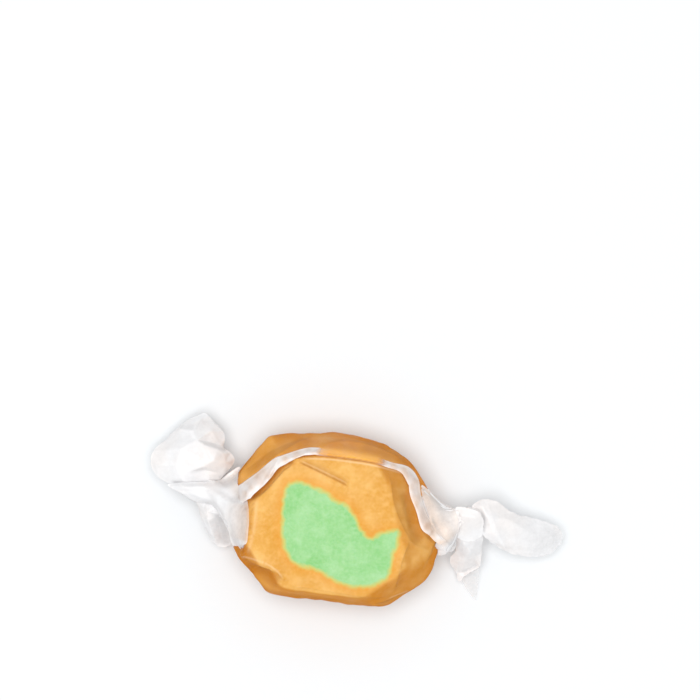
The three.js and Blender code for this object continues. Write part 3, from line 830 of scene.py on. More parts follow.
def paper_marks(spec, x, y):
    """The point attributes that the paper's colours follow."""
    white = np.full(len(x), spec["white"])
    for cx, cy, radius, value in spec["thin"]:
        near = np.exp(-((x - cx) ** 2 + (y - cy) ** 2) / radius**2)
        white = white * (1 - near) + value * near
    # painted shade in the paper's folds, along the piece's shade lines
    shade_lines, warm = folds_at(spec["shade_lines"], x, y), folds_at(spec["warm"], x, y)
    return {"whiteness": white, "painted_paper_shade": shade_lines, "warmth": warm}


def build_paper(name, spec, material, tree):
    """A piece of folded paper, as PAPER_PIECES describes it, over the paper below it."""
    spec = {**PAPER_DEFAULTS, **spec}
    outline, seed = np.array(spec["outline"], float), spec["seed"]
    edge = wavy_outline(outline, spec["steps"], spec["edge_roughness"], seed)
    points, triangles, depth = filled(edge[:, :2], PAPER_SPACING)
    corners = np.vstack([outline, spec["inner"]])
    folds = [(len(outline) + a, len(outline) + b) for a, b in spec["folds"]]
    upper = spanned(points, triangles, edge, corners, folds, spec["softness"])
    if spec["draped"]:
        upper += smoothed(over(tree, points, DRAPE_FALLBACK), triangles, DRAPE_ROUNDS)
    x, y = points.T
    fade = 1 - np.exp(-depth / EDGE_FADE)
    crumple = spec["crumple"] * fade
    upper += crumple * sum(
        share * facets(x / cell, y / cell, seed + k) for k, (cell, share) in enumerate(PAPER_CRUMPLE))
    upper += spec["puff"] * (1 - np.exp(-depth / PUFF_FADE))
    upper = np.maximum(upper, LEAST_UPPER)
    sheets, faces = [np.column_stack([points, upper])], triangles.tolist()
    if spec["closed"]:
        level = spanned(points, triangles, edge, outline, [], SAG_ROUNDS)
        lower = level - spec["sag"] * np.clip(upper - level, SAG_LEAST, None) * fade
        lower += crumple * facets(x / SAG_CELL, y / SAG_CELL, seed + 5)
        lower = np.maximum(np.minimum(lower, upper - SHEET_GAP * fade), GROUND_GAP)
        sheets.append(np.column_stack([points, lower])[len(edge):])
        below = np.where(triangles < len(edge), triangles, triangles + len(points) - len(edge))
        faces += below[:, ::-1].tolist()
    points = np.vstack(sheets)
    new_paper(name, points, faces, material, paper_marks(spec, *points[:, :2].T))


# A piece's outline and inner corners are x, y and z, and its folds join inner corners. A closed piece has a
# second sheet below, which sags by a share of the upper one's rise. A draped piece's z is its distance from
# the paper below. Thin spots are x, y, radius and whiteness. Shade lines are painted shade in the paper's
# folds, and they and warm lines are like FOLD_SHADOWS.
PAPER_DEFAULTS = {
    "closed": False, "draped": False, "steps": 420, "edge_roughness": 0.07, "softness": 2, "puff": 0.0,
    "thin": (), "warm": (),
}
PUFFED_TAIL = {
    "seed": 51, "closed": True, "white": 0.95, "puff": 0.15, "sag": 0.75, "softness": 0, "crumple": 0.14,
    "outline": (
        (-19.4, 3.6, 6), (-22.3, 4.6, 5.4), (-24.2, 5.9, 5.2), (-24.9, 7.6, 5), (-24.5, 9.1, 4.8),
        (-22.9, 10.6, 4.6), (-21.3, 12.2, 4.3), (-19.6, 13.4, 4.2), (-17.9, 14.1, 4.2), (-17.3, 13.9, 4.2),
        (-16.5, 13.1, 4.3), (-15.2, 11.7, 4.6), (-14.95, 10.6, 4.8), (-15.1, 9.55, 5), (-14.2, 8.9, 5.4),
        (-13.65, 8, 5.6), (-13.9, 7.1, 5.7), (-15, 5.9, 5.8), (-15.7, 5.2, 6), (-17.5, 4.2, 6.4),
    ),
    "inner": (
        (-18.2, 13.1, 5.5), (-18.85, 12, 7), (-21, 12, 5.2), (-18.6, 10.6, 8.1), (-17.4, 9.95, 8.3),
        (-15.8, 9.4, 7.7), (-14.95, 8.75, 6.9), (-17.2, 10.35, 6.9), (-15.6, 9.85, 5.9), (-16.7, 11.8, 6.5),
        (-22.8, 9.2, 6.6), (-20.7, 9.5, 8.7), (-18.6, 8.4, 9.3), (-16.3, 7.9, 8.6), (-14.8, 7.5, 7.2),
        (-23.5, 7.2, 6.5), (-21.4, 7.1, 8.1), (-19.4, 6.5, 8.2), (-17.6, 7.1, 9), (-17.7, 6.6, 7.8),
        (-15.6, 6.2, 6.5), (-16.9, 5.9, 7.3), (-20.8, 5.6, 7.4), (-18.6, 5.3, 7.2),
    ),
    "folds": (
        (0, 1), (1, 2), (1, 3), (3, 4), (4, 5), (5, 6), (7, 8), (3, 7), (1, 9), (0, 9), (11, 12), (12, 13),
        (13, 14), (10, 11), (15, 16), (16, 17), (17, 18), (18, 13), (12, 18), (22, 23), (19, 20), (17, 19),
    ),
    "shade_lines": (
        (((-21.1, 12.15), (-19.9, 12), (-18.9, 11.9)), 0.9, 0.1, 0.22),
        (((-17.9, 14), (-18.3, 13), (-18.9, 11.9), (-18.8, 11.2), (-18.2, 10.5), (-17.3, 10.1),
          (-15.5, 9.6)), 1.3, 0.08, 0.2),
        (((-17.9, 10.35), (-17.2, 10.05), (-15.9, 9.6), (-14.7, 9.15)), 0.12, 0.25, 0.35),
        (((-14.2, 6.6), (-15.2, 5.7), (-15.8, 5.4)), 0.5, 0.4, 0.5),
        (((-22.3, 5.1), (-19.5, 4.95), (-17.6, 5), (-15.8, 5.1)), 0.1, 0.16, 0.45),
        (((-19.5, 6.35), (-18.7, 6.55), (-17.7, 6.95)), 0.1, 0.35, 0.2),
        (((-20.9, 12.1), (-19.9, 11.95), (-18.85, 11.85)), 0.1, 0.04, 0.2),
    ),
    "warm": (
        (((-17.9, 13.6), (-17.2, 12), (-15.6, 10.6)), 1.6, 1.3, 0.1),
        (((-15.2, 9.2), (-14.4, 8.2), (-15, 6.6)), 1.6, 1.6, 0.14),
    ),
}
LONG_TAIL = {
    "seed": 61, "closed": True, "white": 0.88, "puff": 0.05, "crumple": 0.08, "sag": 0.5,
    "edge_roughness": 0.16,
    "outline": (
        (18, 1.7, 7), (19.4, 2.65, 6.9), (20.7, 2.58, 6.7), (21.9, 2.1, 6.4), (23.3, 0.95, 5.9),
        (25.5, 0.3, 5.1), (28, -0.45, 4.2), (29.5, -1.1, 3.8), (30.25, -1.8, 3.6), (30.3, -2.6, 3.5),
        (29.6, -4.1, 3.5), (28.2, -5, 3.7), (26.4, -5.15, 4.2), (24.6, -4.95, 4.8), (22.6, -4.3, 5.4),
        (20.4, -2.95, 6.1), (19.6, -2.1, 6.5), (19.6, -0.3, 7), (19.1, 0.7, 7.2),
    ),
    "inner": (
        (19.4, 1.7, 8), (20.15, 0.3, 8.1), (20.9, -1.6, 7.5), (22.2, -3.5, 6.4), (21.2, 0.3, 7.6),
        (21.9, -1.5, 7), (23.1, -3.7, 6), (22.9, 0, 7.1), (24.8, -1.2, 6.5), (26.6, -2.3, 5.6),
        (28.6, -2, 4.8), (24.6, -3.5, 5.7), (27, -4, 4.7), (27, -0.7, 4.9), (29.3, -3, 4.2),
    ),
    "folds": ((0, 1), (1, 2), (2, 3), (4, 5), (5, 6), (7, 8), (8, 9), (9, 10), (9, 14), (8, 11), (11, 12)),
    "thin": ((30.3, -2.6, 2.6, 0.42), (27.5, -5.2, 1.6, 0.55), (20.6, -1.2, 1.6, 0.97)),
    "shade_lines": (
        (((18.3, 1.6), (19.4, 0.9), (19.8, -0.2), (19.7, -2)), 0.12, 0.3, 0.4),
        (((20.2, 2.2), (20.85, 0.4), (21.35, -1.1), (22.2, -3), (23.2, -4.9)), 2.6, 0.06, 0.17),
        (((22.6, 1), (26, -2), (31.5, -3.2)), 3, 3, 0.18),
        (((26.3, -0.1), (27, -0.75), (27.7, -0.65)), 0.3, 0.15, 0.2),
        (((29.1, -1.9), (29.8, -2.7), (29.2, -3.6), (28.8, -4.6)), 0.3, 0.2, 0.22),
    ),
}
SHORT_TAIL = {
    "seed": 71, "closed": True, "white": 0.84, "puff": 0.12, "crumple": 0.1, "sag": 0.6,
    "outline": (
        (16, 0.6, 6.8), (17.6, 1, 7), (19, 0.6, 6.9), (19.55, -0.4, 6.5), (19.6, -2.4, 5.5),
        (19.45, -4.5, 4.5), (19.25, -6.45, 3.6), (18.3, -7.1, 3.2), (17.1, -7.9, 2.7), (16.75, -8.6, 2.3),
        (16.35, -8.4, 2.2), (16.1, -7.3, 2.6), (15.3, -6.1, 3.3), (15.3, -5.2, 3.8), (16, -4.1, 4.6),
        (15.95, -1.1, 6.2),
    ),
    "inner": (
        (17.2, -0.4, 7.6), (18.7, -0.6, 7.4), (16.9, -3.2, 6), (18.7, -2.8, 5.9), (17.1, -5.6, 4.5),
        (18.6, -5.4, 4.3), (16.3, -5.9, 4.1), (17, -7.3, 2.6), (18.8, -6.35, 3), (17.9, -4.4, 5.6),
    ),
    "folds": ((0, 2), (1, 3), (2, 4), (7, 8), (4, 7), (5, 8), (2, 9), (9, 5), (4, 6)),
    "shade_lines": (
        (((15.9, -3.1), (17.6, -3.5), (19.6, -2.8)), 0.25, 3.6, 0.16),
        (((16.7, -7.35), (17.9, -6.9), (19, -6.3)), 0.3, 0.12, 0.35),
        (((16.2, -4.6), (16.4, -6.2), (16.5, -7.6)), 0.2, 0.2, 0.2),
    ),
}
SHORT_TAIL_FOLD = {
    "seed": 76, "white": 0.93, "crumple": 0.05, "steps": 260,
    "outline": (
        (15.85, 1.3, 7.9), (16.2, 1.75, 8.1), (17.6, 1.5, 8.3), (18.9, 1, 8.1), (19.5, 0.2, 7.8),
        (19.6, -1.2, 7.2), (19.45, -2.1, 6.6), (18.7, -2.75, 6.5), (17.6, -2.98, 6.6), (16.6, -2.7, 6.7),
        (15.95, -2.2, 6.8), (15.85, -0.5, 7.5),
    ),
    "inner": ((16.6, 0.6, 8.6), (16.7, -1.8, 7.4), (18.6, 0.2, 8.5), (18.8, -1.8, 7.2), (17.7, -0.9, 7.9)),
    "folds": ((0, 1), (2, 3), (0, 2), (1, 3)),
    "shade_lines": ((((15.9, -0.4), (17.8, -0.2), (19.6, -0.6)), 1.6, 1.6, 0.12),),
}
SHEET_CORNER = {
    "seed": 81, "white": 0.4, "crumple": 0.04, "steps": 160,
    "outline": (
        (16.7, -6.7, 2.6), (18.9, -5.9, 3.2), (19.1, -6.8, 2.8), (19.05, -8.4, 1.7), (18.85, -10.9, 0.6),
        (18.5, -11, 0.6), (17.4, -9.4, 1.2), (16.8, -8.4, 1.8), (16.6, -7.5, 2.2),
    ),
    "inner": ((18.3, -8, 1.9), (18, -9.2, 1.3)),
    "folds": ((0, 1),),
    "shade_lines": ((((16.5, -7), (18.6, -8), (18.8, -11)), 3, 3, 0.14),),
}
LOOSE_PLEAT = {
    "seed": 91, "white": 0.8, "crumple": 0.08, "steps": 260,
    "outline": (
        (-18.8, 3, 6.4), (-18.4, 1.2, 5.7), (-17.9, -0.6, 4.6), (-17.1, -2.5, 3.3), (-16.1, -3.7, 2.6),
        (-15, -3.9, 2.6), (-14.1, -3.2, 3.2), (-14.3, -1.4, 4.6), (-14.6, 0.2, 5.8), (-15.6, 1.6, 6.6),
        (-17, 3, 7.4),
    ),
    "inner": (
        (-17.9, 1.6, 7.2), (-17.2, -0.4, 6.2), (-16.6, -2.2, 4.7), (-17.3, 1, 6.4), (-16.3, 0.4, 6.2),
        (-15.8, -0.9, 4.6), (-15.4, -2.8, 3.1), (-16, 0.9, 7.3),
    ),
    "folds": ((0, 1), (1, 2), (4, 5), (5, 6), (3, 4), (4, 7)),
    "shade_lines": (
        (((-15.9, 1), (-15.5, -0.5), (-15.2, -2), (-14.9, -3.9)), 0.8, 0.75, 0.46),
        (((-14.9, 0.6), (-14.6, -1.2), (-14.4, -3.3)), 0.3, 0.3, 0.3),
        (((-18.6, 2.2), (-18, -0.2), (-17, -2.4)), 0.15, 0.25, 0.15),
        (((-17.9, 2.4), (-17.5, 0.4), (-16.9, -1.4)), 0.1, 0.2, 0.15),
    ),
}
LEFT_SKIRT = {
    "seed": 95, "draped": True, "white": 0.95, "crumple": 0.04, "softness": 3, "edge_roughness": 0.03,
    "outline": (
        (-22.35, 4.7, 0.2), (-20.5, 4.95, 0.25), (-18, 5.05, 0.3), (-16.4, 5.1, 0.35), (-15.6, 5.2, 0.4),
        (-14.7, 5.9, 0.35), (-13.9, 6.5, 0.3), (-13.2, 6.95, 0.2), (-12.9, 6.85, 0.15), (-13.25, 6.05, 0.2),
        (-13.45, 5.4, 0.3), (-13.05, 4.7, 0.4), (-12.1, 3.4, 0.4), (-11.6, 2.3, 0.4), (-11.45, 0.3, 0.3),
        (-11.6, -1.6, 0.3), (-11.8, -2.75, 0.4), (-12.5, -3.05, 0.8), (-13.4, -3.35, 1), (-13.95, -3, 0.9),
        (-14.3, -1.4, 0.6), (-14.55, 0.1, 0.5), (-15.6, 0.35, 0.6), (-16.7, 0.55, 0.5), (-17.4, 1.7, 0.4),
        (-18.6, 2.7, 0.35), (-19.8, 3.3, 0.3), (-21, 3.7, 0.25), (-22.35, 4.35, 0.2),
    ),
    "inner": (
        (-14, 0.2, 0.9), (-13.7, -1.6, 0.9), (-13.3, -2.9, 1), (-12.6, 0.4, 0.45), (-12.7, -1.6, 0.4),
        (-15.6, 3.2, 1.3), (-13.6, 2.8, 0.8), (-14.4, 4.7, 0.85), (-16.2, 1.8, 1.1), (-20.6, 4.3, 0.8),
        (-17.6, 4.45, 1.2), (-20.3, 3.95, 0.45), (-17.4, 3.75, 0.8), (-18.6, 3.2, 0.9),
    ),
    "folds": ((0, 1), (1, 2), (3, 4), (0, 6), (5, 6), (5, 8), (9, 10), (10, 7), (11, 12), (12, 5), (13, 8)),
    "thin": ((-11.7, 0.6, 2.2, 0.62), (-12.1, -2.4, 1.8, 0.7), (-12.4, 3.4, 1.2, 0.6)),
    "warm": (
        (((-11.5, 2.6), (-11.6, 0.4), (-11.9, -2.8)), 1.2, 1.7, 0.85),
        (((-13, 6.6), (-13.2, 4.6), (-12.3, 3.2)), 0.9, 1, 0.4),
    ),
    "shade_lines": (
        (((-22.4, 4.45), (-20.3, 4.05), (-17.4, 3.9), (-15.4, 4.3)), 0.1, 0.14, 0.07),
        (((-19.8, 3.4), (-18.4, 3), (-16.4, 2.4)), 0.12, 0.1, 0.1),
        (((-14.6, 0.3), (-14.35, -1.4), (-14.1, -3.1)), 0.15, 0.1, 0.15),
        (((-12.4, 2.4), (-12.2, 0), (-12.4, -2.9)), 0.9, 0.9, 0.1),
    ),
}
RIGHT_SKIRT = {
    "seed": 97, "draped": True, "white": 0.76, "crumple": 0.04, "softness": 6,
    "outline": (
        (11.3, 4.6, 0.2), (11.75, 4.4, 0.2), (12.8, 3.45, 0.15), (14.2, 2.2, 0.15), (15.8, 1.2, 0.4),
        (16.3, -1, 0.5), (16, -3.4, 0.5), (15.6, -4.25, 0.4), (14.9, -4.4, 0.35), (14.1, -3.6, 0.35),
        (12.9, -1.6, 0.35), (12.35, 0.2, 0.35), (11.95, 1.6, 0.3), (11.35, 3.4, 0.3),
    ),
    "inner": (
        (13, 2.6, 0.9), (14.3, -0.4, 0.9), (15.3, -2.4, 0.8), (13, 0.2, 0.5), (14.2, -2.2, 0.45),
        (15.2, -3.4, 0.4),
    ),
    "folds": ((0, 1), (1, 2), (3, 4), (4, 5)),
    "thin": ((14.4, -2.2, 2, 0.7), (12, 2.6, 1.4, 0.66), (13.2, 2.4, 0.7, 0.85)),
    "warm": (
        (((11.6, 4.6), (12.3, 1.4), (13.2, -0.9), (15.2, -3.4)), 1.8, 1.2, 0.85),
        (((13.2, 4), (15.6, 1.6), (16.2, -2)), 0.9, 1.2, 0.32),
    ),
    "shade_lines": (
        (((12.45, 0.5), (13.2, -0.95), (14.1, -2.35), (15, -3.2), (15.9, -3.8)), 0.3, 0.1, 0.42),
        (((14.6, -2), (15.4, -3), (16.1, -3.3)), 0.9, 0.5, 0.16),
        (((11.2, 3.9), (11.9, 1.8), (12.4, 0.4)), 0.2, 0.12, 0.3),
        (((12.6, 3.4), (14, 1.8), (15.2, 0)), 1.3, 1.3, 0.2),
    ),
}
PAPER_PIECES = {
    "puffed_tail": PUFFED_TAIL,
    "long_tail": LONG_TAIL,
    "short_tail": SHORT_TAIL,
    "short_tail_fold": SHORT_TAIL_FOLD,
    "sheet_corner": SHEET_CORNER,
    "loose_pleat": LOOSE_PLEAT,
    "left_skirt": LEFT_SKIRT,
    "right_skirt": RIGHT_SKIRT,
}

# The twists: each is the line through its middle, its radius along that line, and its folds.
TWISTS = {
    "left_twist": {
        "radius": (0.8, 1.5, 1.35, 0.75, 0.12), "pleats": 12, "turns": 0.3, "seed": 3,
        "line": ((-14.9, 3.4, 7), (-17.3, 3.6, 6.8), (-19.2, 3.9, 6.9), (-21, 4.3, 6.6), (-22.5, 4.55, 6)),
    },
    "right_twist": {
        "radius": (0.7, 1.2, 1.1, 0.3), "pleats": 16, "turns": 0.4, "seed": 8,
        "line": ((14.9, 0.4, 7), (16.6, 0.3, 7.1), (18.1, 0.6, 7.2), (19.3, 0.8, 7.1)),
    },
}
TWIST_STEPS, TWIST_AROUND, TWIST_FOLD = 90, 128, 0.1


def build_twist(name, spec, material):
    """The gathered paper at a neck: a bundle whose folds wind round it."""
    line = resampled(catmull_rom(spec["line"], 12), TWIST_STEPS)
    share = np.linspace(0, 1, TWIST_STEPS)
    radius = np.interp(share, np.linspace(0, 1, len(spec["radius"])), spec["radius"])
    ahead = normalised(np.gradient(line, axis=0))
    aside = normalised(np.cross(ahead, (0.0, 0.0, 1.0)))
    up = np.cross(aside, ahead)
    turn = np.arange(TWIST_AROUND) / TWIST_AROUND
    wound = turn[None, :] + spec["turns"] * share[:, None]
    out = radius[:, None] * (1 + TWIST_FOLD * pleats(wound, spec["pleats"], spec["seed"]))
    angle = 2 * math.pi * turn[None, :, None]
    points = line[:, None] + out[:, :, None] * (aside[:, None] * np.cos(angle) + up[:, None] * np.sin(angle))
    points = points.reshape(-1, 3)
    faces = grid_faces(TWIST_STEPS, TWIST_AROUND, wrap=True)
    new_paper(name, points, faces.tolist(), material, {"whiteness": np.full(len(points), NECK_WHITE)})
    return points, faces


STRIP_STEPS, STRIP_ACROSS = 520, 22
STRIP_WAVE, STRIP_WAVE_STEPS = 0.06, 11  # the free edge's waves: their share of the width, and their length
STRIP_CREASE = 0.3  # how uneven the strip's standoff is, as a share of it
STRIP_GAP, STRIP_ROUNDS, STRIP_FALLBACK = 0.05, 10, 6.0
STRIP_BULGE = 0.7  # how much of the middle's standoff counts
HEM_REACH, FAR_HEM = 0.16, 0.7  # how far in the two hems are whiter, and how strong the far one is
STRIP_WHITE, BLOTCH, BLOTCH_CELL = 0.96, 0.12, 0.75  # its whiteness, and that of its random blotches
WHITE_RANGE, WARM_RANGE = (0.005, 0.97), (0.05, 0.8)
FAR_FADE = 0.94  # share of the way across where it starts to merge with the clinging paper
STRIP_START = 0.045  # share of its length over which the strip comes into view


def along_strip(points):
    """A smooth curve through points in STRIP_STEPS steps, with each step's number on the finer curve."""
    line = catmull_rom(points, 24)
    step = np.linspace(0, len(line) - 1, STRIP_STEPS)
    return np.column_stack([np.interp(step, np.arange(len(line)), column) for column in line.T]), step


def strip_points(free, cling, step, tree):
    """The points of the loose edge's strip, from its free edge to the line where it clings again."""
    across = np.linspace(0, 1, STRIP_ACROSS)
    wave = STRIP_WAVE * facets(step / STRIP_WAVE_STEPS, 0.5, 5)[:, None, None]
    between = cling[:, None, :2] - free[:, None, :2]
    xy = free[:, None, :2] + between * (across[:, None] + wave * (1 - across[:, None]))
    lift = free[:, 2:3] * (1 - across) ** 1.2 + cling[:, 2:3] * np.sin(math.pi * across) * STRIP_BULGE
    lift = lift * (1 + STRIP_CREASE * facets(step[:, None] / 17, across[None, :] * 1.6, 15)) + STRIP_GAP
    base = over(tree, xy.reshape(-1, 2), STRIP_FALLBACK)
    base = smoothed(base, grid_faces(STRIP_STEPS, STRIP_ACROSS), STRIP_ROUNDS).reshape(lift.shape)
    return np.concatenate([xy, (base + lift)[:, :, None]], axis=2).reshape(-1, 3)


def build_loose_edge(tree, material):
    free, step = along_strip([(*a, lift, white) for a, _, lift, _, white in LOOSE_EDGE])
    cling, _ = along_strip([(*b, middle) for _, b, _, middle, _ in LOOSE_EDGE])
    points = strip_points(free, cling, step, tree)
    across, white = np.linspace(0, 1, STRIP_ACROSS), free[:, 3:4]
    width = np.linalg.norm(cling[:, :2] - free[:, :2], axis=1)[:, None]
    hems = np.exp(-across * width / HEM_REACH) + FAR_HEM * np.exp(-(1 - across) * width / HEM_REACH)
    blotch = smooth_noise(points[:, 0] / BLOTCH_CELL, points[:, 1] / BLOTCH_CELL, 4).reshape(hems.shape)
    white = white * (STRIP_WHITE + BLOTCH * blotch) + hems * np.clip(white * 1.2, 0, 0.6)
    along = np.linspace(0, 1, STRIP_STEPS)[:, None]
    white = np.clip(white, *WHITE_RANGE) * smoothstep(along, 0, STRIP_START)
    white = white * (1 - smoothstep(across, FAR_FADE, 1) * 0.9)
    warm = np.clip(0.2 + 0.4 * along - 0.5 * blotch, *WARM_RANGE)
    values = {"whiteness": white.ravel(), "warmth": warm.ravel()}
    new_paper("loose_edge", points, grid_faces(STRIP_STEPS, STRIP_ACROSS).tolist(), material, values)


# ---- Materials ----

BUMP_STRENGTH = 0.3
ORANGE = (0.65, 0.307, 0.048, 1)
ORANGE_PALE = (0.855, 0.54, 0.196, 1)
# painted shade on the sides that face away from the light
ORANGE_SIDE_SHADE = (0.57, 0.18, 0.004, 1)
# painted light on the folds that face up
ORANGE_LIT = (0.95, 0.47, 0.09, 1)
# painted shadow: the brown of the taffy in the paper's folds
FOLD_SHADOW_BROWN = (0.36, 0.11, 0.008, 1)
NEAR_GREEN = (0.70, 0.29, 0.03, 1)  # the orange beside the green centre
# painted highlight where the paper's folds and edges catch the light
LINE_PALE = (0.95, 0.76, 0.50, 1)
GREEN = (0.238, 0.537, 0.192, 1)
GREEN_PALE = (0.44, 0.68, 0.385, 1)
RIM_YELLOW = (0.56, 0.53, 0.15, 1)
TAFFY_WRINKLE, PAPER_WRINKLE = 0.09, 0.12  # the bumps' depth
TAFFY_SCATTER = 0.5  # how far light travels inside the taffy
PAPER_WHITE = (0.925, 0.925, 0.935, 1)
PAPER_WARM = (0.94, 0.912, 0.90, 1)
PAPER_GLOW = (0.95, 0.94, 0.935, 1)
PAPER_OVER_TAFFY = (0.90, 0.73, 0.60, 1)  # where the taffy shows through a little
PAPER_FOLD_SHADE = (0.42, 0.42, 0.43, 1)  # the deepest painted shade between its folds
PAPER_THROUGH = 0.16  # share of the light that goes through the white paper
CLOUD_CENTRE = 1.05  # the paper's clouds swing its opacity by white * (this - white)
FLOOR_PALE = (0.765, 0.785, 0.80, 1)


def node_tree(name):
    material = bpy.data.materials.new(name)
    material.use_nodes = True
    material.node_tree.nodes.clear()
    return material, material.node_tree


def add(tree, kind, inputs, **settings):
    """A node with these settings. inputs holds values and links by socket name or number."""
    node = tree.nodes.new(kind)
    for key, value in settings.items():
        setattr(node, key, value)
    for key, value in inputs.items():
        if isinstance(value, bpy.types.NodeSocket):
            tree.links.new(value, node.inputs[key])
        else:
            node.inputs[key].default_value = value
    return node


def surfaced(tree, shader):
    """Makes a shader the material's surface."""
    add(tree, "ShaderNodeOutputMaterial", {"Surface": shader.outputs[0]})


def marks(tree, *names):
    """Point attributes of the mesh."""
    return [add(tree, "ShaderNodeAttribute", {}, attribute_name=name).outputs["Fac"] for name in names]


def noise(tree, scale, detail, roughness=0.5):
    """Noise in object space, with scale in features to a millimetre. It is about 0.5 on average."""
    place = add(tree, "ShaderNodeTexCoord", {}).outputs["Object"]
    inputs = {"Vector": place, "Scale": scale / MM, "Detail": detail, "Roughness": roughness}
    return add(tree, "ShaderNodeTexNoise", inputs).outputs["Fac"]


def ranged(tree, value, low, high, to_low=0, to_high=1):
    """A value's range from low to high, stretched to another and cut off at its ends."""
    inputs = {"Value": value, "From Min": low, "From Max": high, "To Min": to_low, "To Max": to_high}
    return add(tree, "ShaderNodeMapRange", inputs).outputs["Result"]


def mixed(tree, factor, a, b):
    return add(tree, "ShaderNodeMix", {0: factor, 6: a, 7: b}, data_type="RGBA").outputs[2]


def maths(tree, operation, a, b):
    return add(tree, "ShaderNodeMath", {0: a, 1: b}, operation=operation).outputs[0]


def scaled(tree, value, share):
    return maths(tree, "MULTIPLY", value, share)


def total(tree, a, b):
    return maths(tree, "ADD", a, b)


def bumped(tree, height, depth):
    inputs = {"Height": height, "Strength": BUMP_STRENGTH, "Distance": depth * MM}
    return add(tree, "ShaderNodeBump", inputs).outputs["Normal"]


def paler(tree, colour, pale, *amounts):
    """A colour mixed with a paler one by each amount in turn."""
    for amount in amounts:
        colour = mixed(tree, amount, colour, pale)
    return colour


def taffy_colour(tree, edge, steep, lit, shadow_mark, pale):
    """Orange outside the green centre's outline and green inside it, with a soft rim. Painted shade deepens
    the orange where it faces sideways, painted light brightens its folds that face up, painted highlights
    pale the lines where the paper's folds and edges catch the light, and painted shadow browns both in the
    paper's folds."""
    patch = ranged(tree, noise(tree, 0.28, 3), 0.36, 0.68)
    grain = ranged(tree, noise(tree, 2.4, 5, 0.75), 0.42, 0.66)
    mottle = ranged(tree, noise(tree, 0.75, 3, 0.6), 0.48, 0.7, 0, 0.4)
    orange = paler(tree, ORANGE, ORANGE_PALE, scaled(tree, patch, 0.42), scaled(tree, grain, 0.34), mottle)
    orange = mixed(tree, ranged(tree, edge, 0.2, 1.5, 0.55, 0), orange, NEAR_GREEN)
    # painted shade: a deeper orange where the taffy faces sideways
    side_shade = total(tree, scaled(tree, steep, 0.95), scaled(tree, patch, -0.2))
    orange = mixed(tree, ranged(tree, side_shade, 0, 1), orange, ORANGE_SIDE_SHADE)
    # painted light: a brighter orange on the folds that face up
    orange = mixed(tree, lit, orange, ORANGE_LIT)
    green = paler(tree, GREEN, GREEN_PALE, scaled(tree, patch, 0.4), scaled(tree, grain, 0.38), mottle)
    edge = total(tree, edge, ranged(tree, noise(tree, 1.1, 3), 0.3, 0.7, -0.16, 0.16))
    rim = mixed(tree, ranged(tree, edge, -0.35, 0.02), green, RIM_YELLOW)
    colour = mixed(tree, ranged(tree, edge, 0.0, 0.4), rim, orange)
    # painted highlights along the paper's folds and edges
    colour = mixed(tree, pale, colour, LINE_PALE)
    # painted shadow: brown where the taffy lies in shade in the paper's folds
    return mixed(tree, shadow_mark, colour, FOLD_SHADOW_BROWN)


def taffy_material(name):
    """Opaque, waxy taffy."""
    material, tree = node_tree(name)
    attributes = marks(tree, "edge_distance", "steepness", "painted_fold_light", "painted_shadow", "paleness")
    wrinkle = total(tree, noise(tree, 3.0, 4, 0.65), scaled(tree, noise(tree, 0.8, 2), 1.2))
    surfaced(tree, add(tree, "ShaderNodeBsdfPrincipled", {
        "Base Color": taffy_colour(tree, *attributes),
        "Roughness": ranged(tree, noise(tree, 1.2, 3), 0.3, 0.7, 0.42, 0.6),
        "Normal": bumped(tree, wrinkle, TAFFY_WRINKLE),
        "Specular IOR Level": 0.01,
        "Subsurface Weight": 0.1,
        "Subsurface Radius": (1.0, 0.6, 0.25),
        "Subsurface Scale": TAFFY_SCATTER * MM,
    }))
    return material


def paper_material():
    """Thin wax paper: part white, part letting light through, and see-through where it clings, with painted
    shade between its folds.
    """
    material, tree = node_tree("wax_paper")
    white, shade_lines, warm = marks(tree, "whiteness", "painted_paper_shade", "warmth")
    cloud = ranged(tree, noise(tree, 0.7, 4, 0.6), 0.3, 0.7, -0.5, 0.5)
    swing = scaled(tree, white, maths(tree, "SUBTRACT", CLOUD_CENTRE, white))
    alpha = ranged(tree, total(tree, white, scaled(tree, cloud, swing)), 0, 1)
    tint = mixed(tree, ranged(tree, noise(tree, 0.2, 2), 0.4, 0.6), PAPER_WHITE, PAPER_WARM)
    tint = mixed(tree, warm, tint, PAPER_OVER_TAFFY)
    # painted shade greying the paper between its folds
    tint = mixed(tree, shade_lines, tint, PAPER_FOLD_SHADE)
    bump = bumped(tree, noise(tree, 1.6, 5, 0.7), PAPER_WRINKLE)
    face = add(tree, "ShaderNodeBsdfPrincipled", {
        "Base Color": tint,
        "Roughness": ranged(tree, noise(tree, 1.0, 3), 0.3, 0.7, 0.3, 0.5),
        "Normal": bump,
        "Specular IOR Level": 0.4,
    })
    through = add(tree, "ShaderNodeBsdfTranslucent", {"Color": PAPER_GLOW, "Normal": bump})
    paper = add(tree, "ShaderNodeMixShader", {0: PAPER_THROUGH, 1: face.outputs[0], 2: through.outputs[0]})
    clear = add(tree, "ShaderNodeBsdfTransparent", {})
    surfaced(tree, add(tree, "ShaderNodeMixShader", {0: alpha, 1: clear.outputs[0], 2: paper.outputs[0]}))
    return material


def floor_material():
    material, tree = node_tree("plain_floor")
    matte = {"Base Color": FLOOR_PALE, "Roughness": 0.9, "Specular IOR Level": 0.0}
    surfaced(tree, add(tree, "ShaderNodeBsdfPrincipled", matte))
    return material


# ---- The object ----

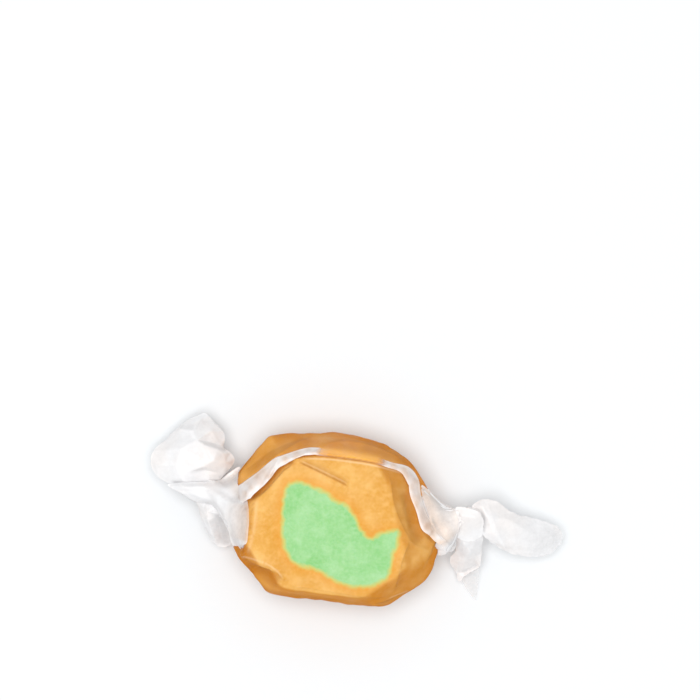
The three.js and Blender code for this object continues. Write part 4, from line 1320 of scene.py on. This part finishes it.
paper = paper_material()
build_taffy(taffy_material("caramel_taffy"), taffy_material("green_taffy"))
sheets_below = [build_wrap(paper)]
build_loose_edge(surface_of(sheets_below), paper)
for twist_name, twist_spec in TWISTS.items():
    sheets_below.append(build_twist(twist_name, twist_spec, paper))
below = surface_of(sheets_below)
for paper_name, paper_spec in PAPER_PIECES.items():
    build_paper(paper_name, paper_spec, paper, below)

# ---- Floor, light and camera ----

PHOTO_PIXELS = 700
PIXELS_PER_MM = 7.5
ORIGIN_PIXEL = (336.5, 519.5)  # where the part's origin lies in the photograph
FOCUS_HEIGHT = 7.5
LENS, SENSOR = 200.0, 36.0
CLIP = (0.01, 10)  # in metres
FLOOR_SIZE = 900.0
DOME_STRENGTH = 0.64
LAMP_PLACE = (-38.0, 14.0, 760.0)
LAMP_SIZE, LAMP_POWER = 460.0, 4.22


def add_floor():
    bpy.ops.mesh.primitive_plane_add(size=FLOOR_SIZE * MM)
    floor = bpy.context.object
    floor.name = "floor"
    floor.data.materials.append(floor_material())


def add_light():
    world = bpy.data.worlds.new("soft_dome")
    world.use_nodes = True
    background = world.node_tree.nodes["Background"]
    background.inputs["Color"].default_value = (1.0, 1.0, 1.0, 1)
    background.inputs["Strength"].default_value = DOME_STRENGTH
    bpy.context.scene.world = world
    lamp = bpy.data.lights.new("overhead", "AREA")
    lamp.shape = "DISK"
    lamp.size = LAMP_SIZE * MM
    lamp.energy = LAMP_POWER
    obj = linked("overhead", lamp)
    obj.location = Vector(LAMP_PLACE) * MM
    obj.rotation_euler = (-obj.location).to_track_quat("-Z", "Y").to_euler()


def add_camera():
    camera = bpy.data.cameras.new("camera")
    camera.lens, camera.sensor_width = LENS, SENSOR
    camera.clip_start, camera.clip_end = CLIP
    middle = PHOTO_PIXELS / 2
    distance = PHOTO_PIXELS / PIXELS_PER_MM * LENS / SENSOR
    obj = linked("camera", camera)
    obj.location = (
        (middle - ORIGIN_PIXEL[0]) / PIXELS_PER_MM * MM,
        (ORIGIN_PIXEL[1] - middle) / PIXELS_PER_MM * MM,
        (distance + FOCUS_HEIGHT) * MM,
    )
    bpy.context.scene.camera = obj


add_floor()
add_light()
add_camera()
bpy.context.scene.view_settings.view_transform = "Standard"
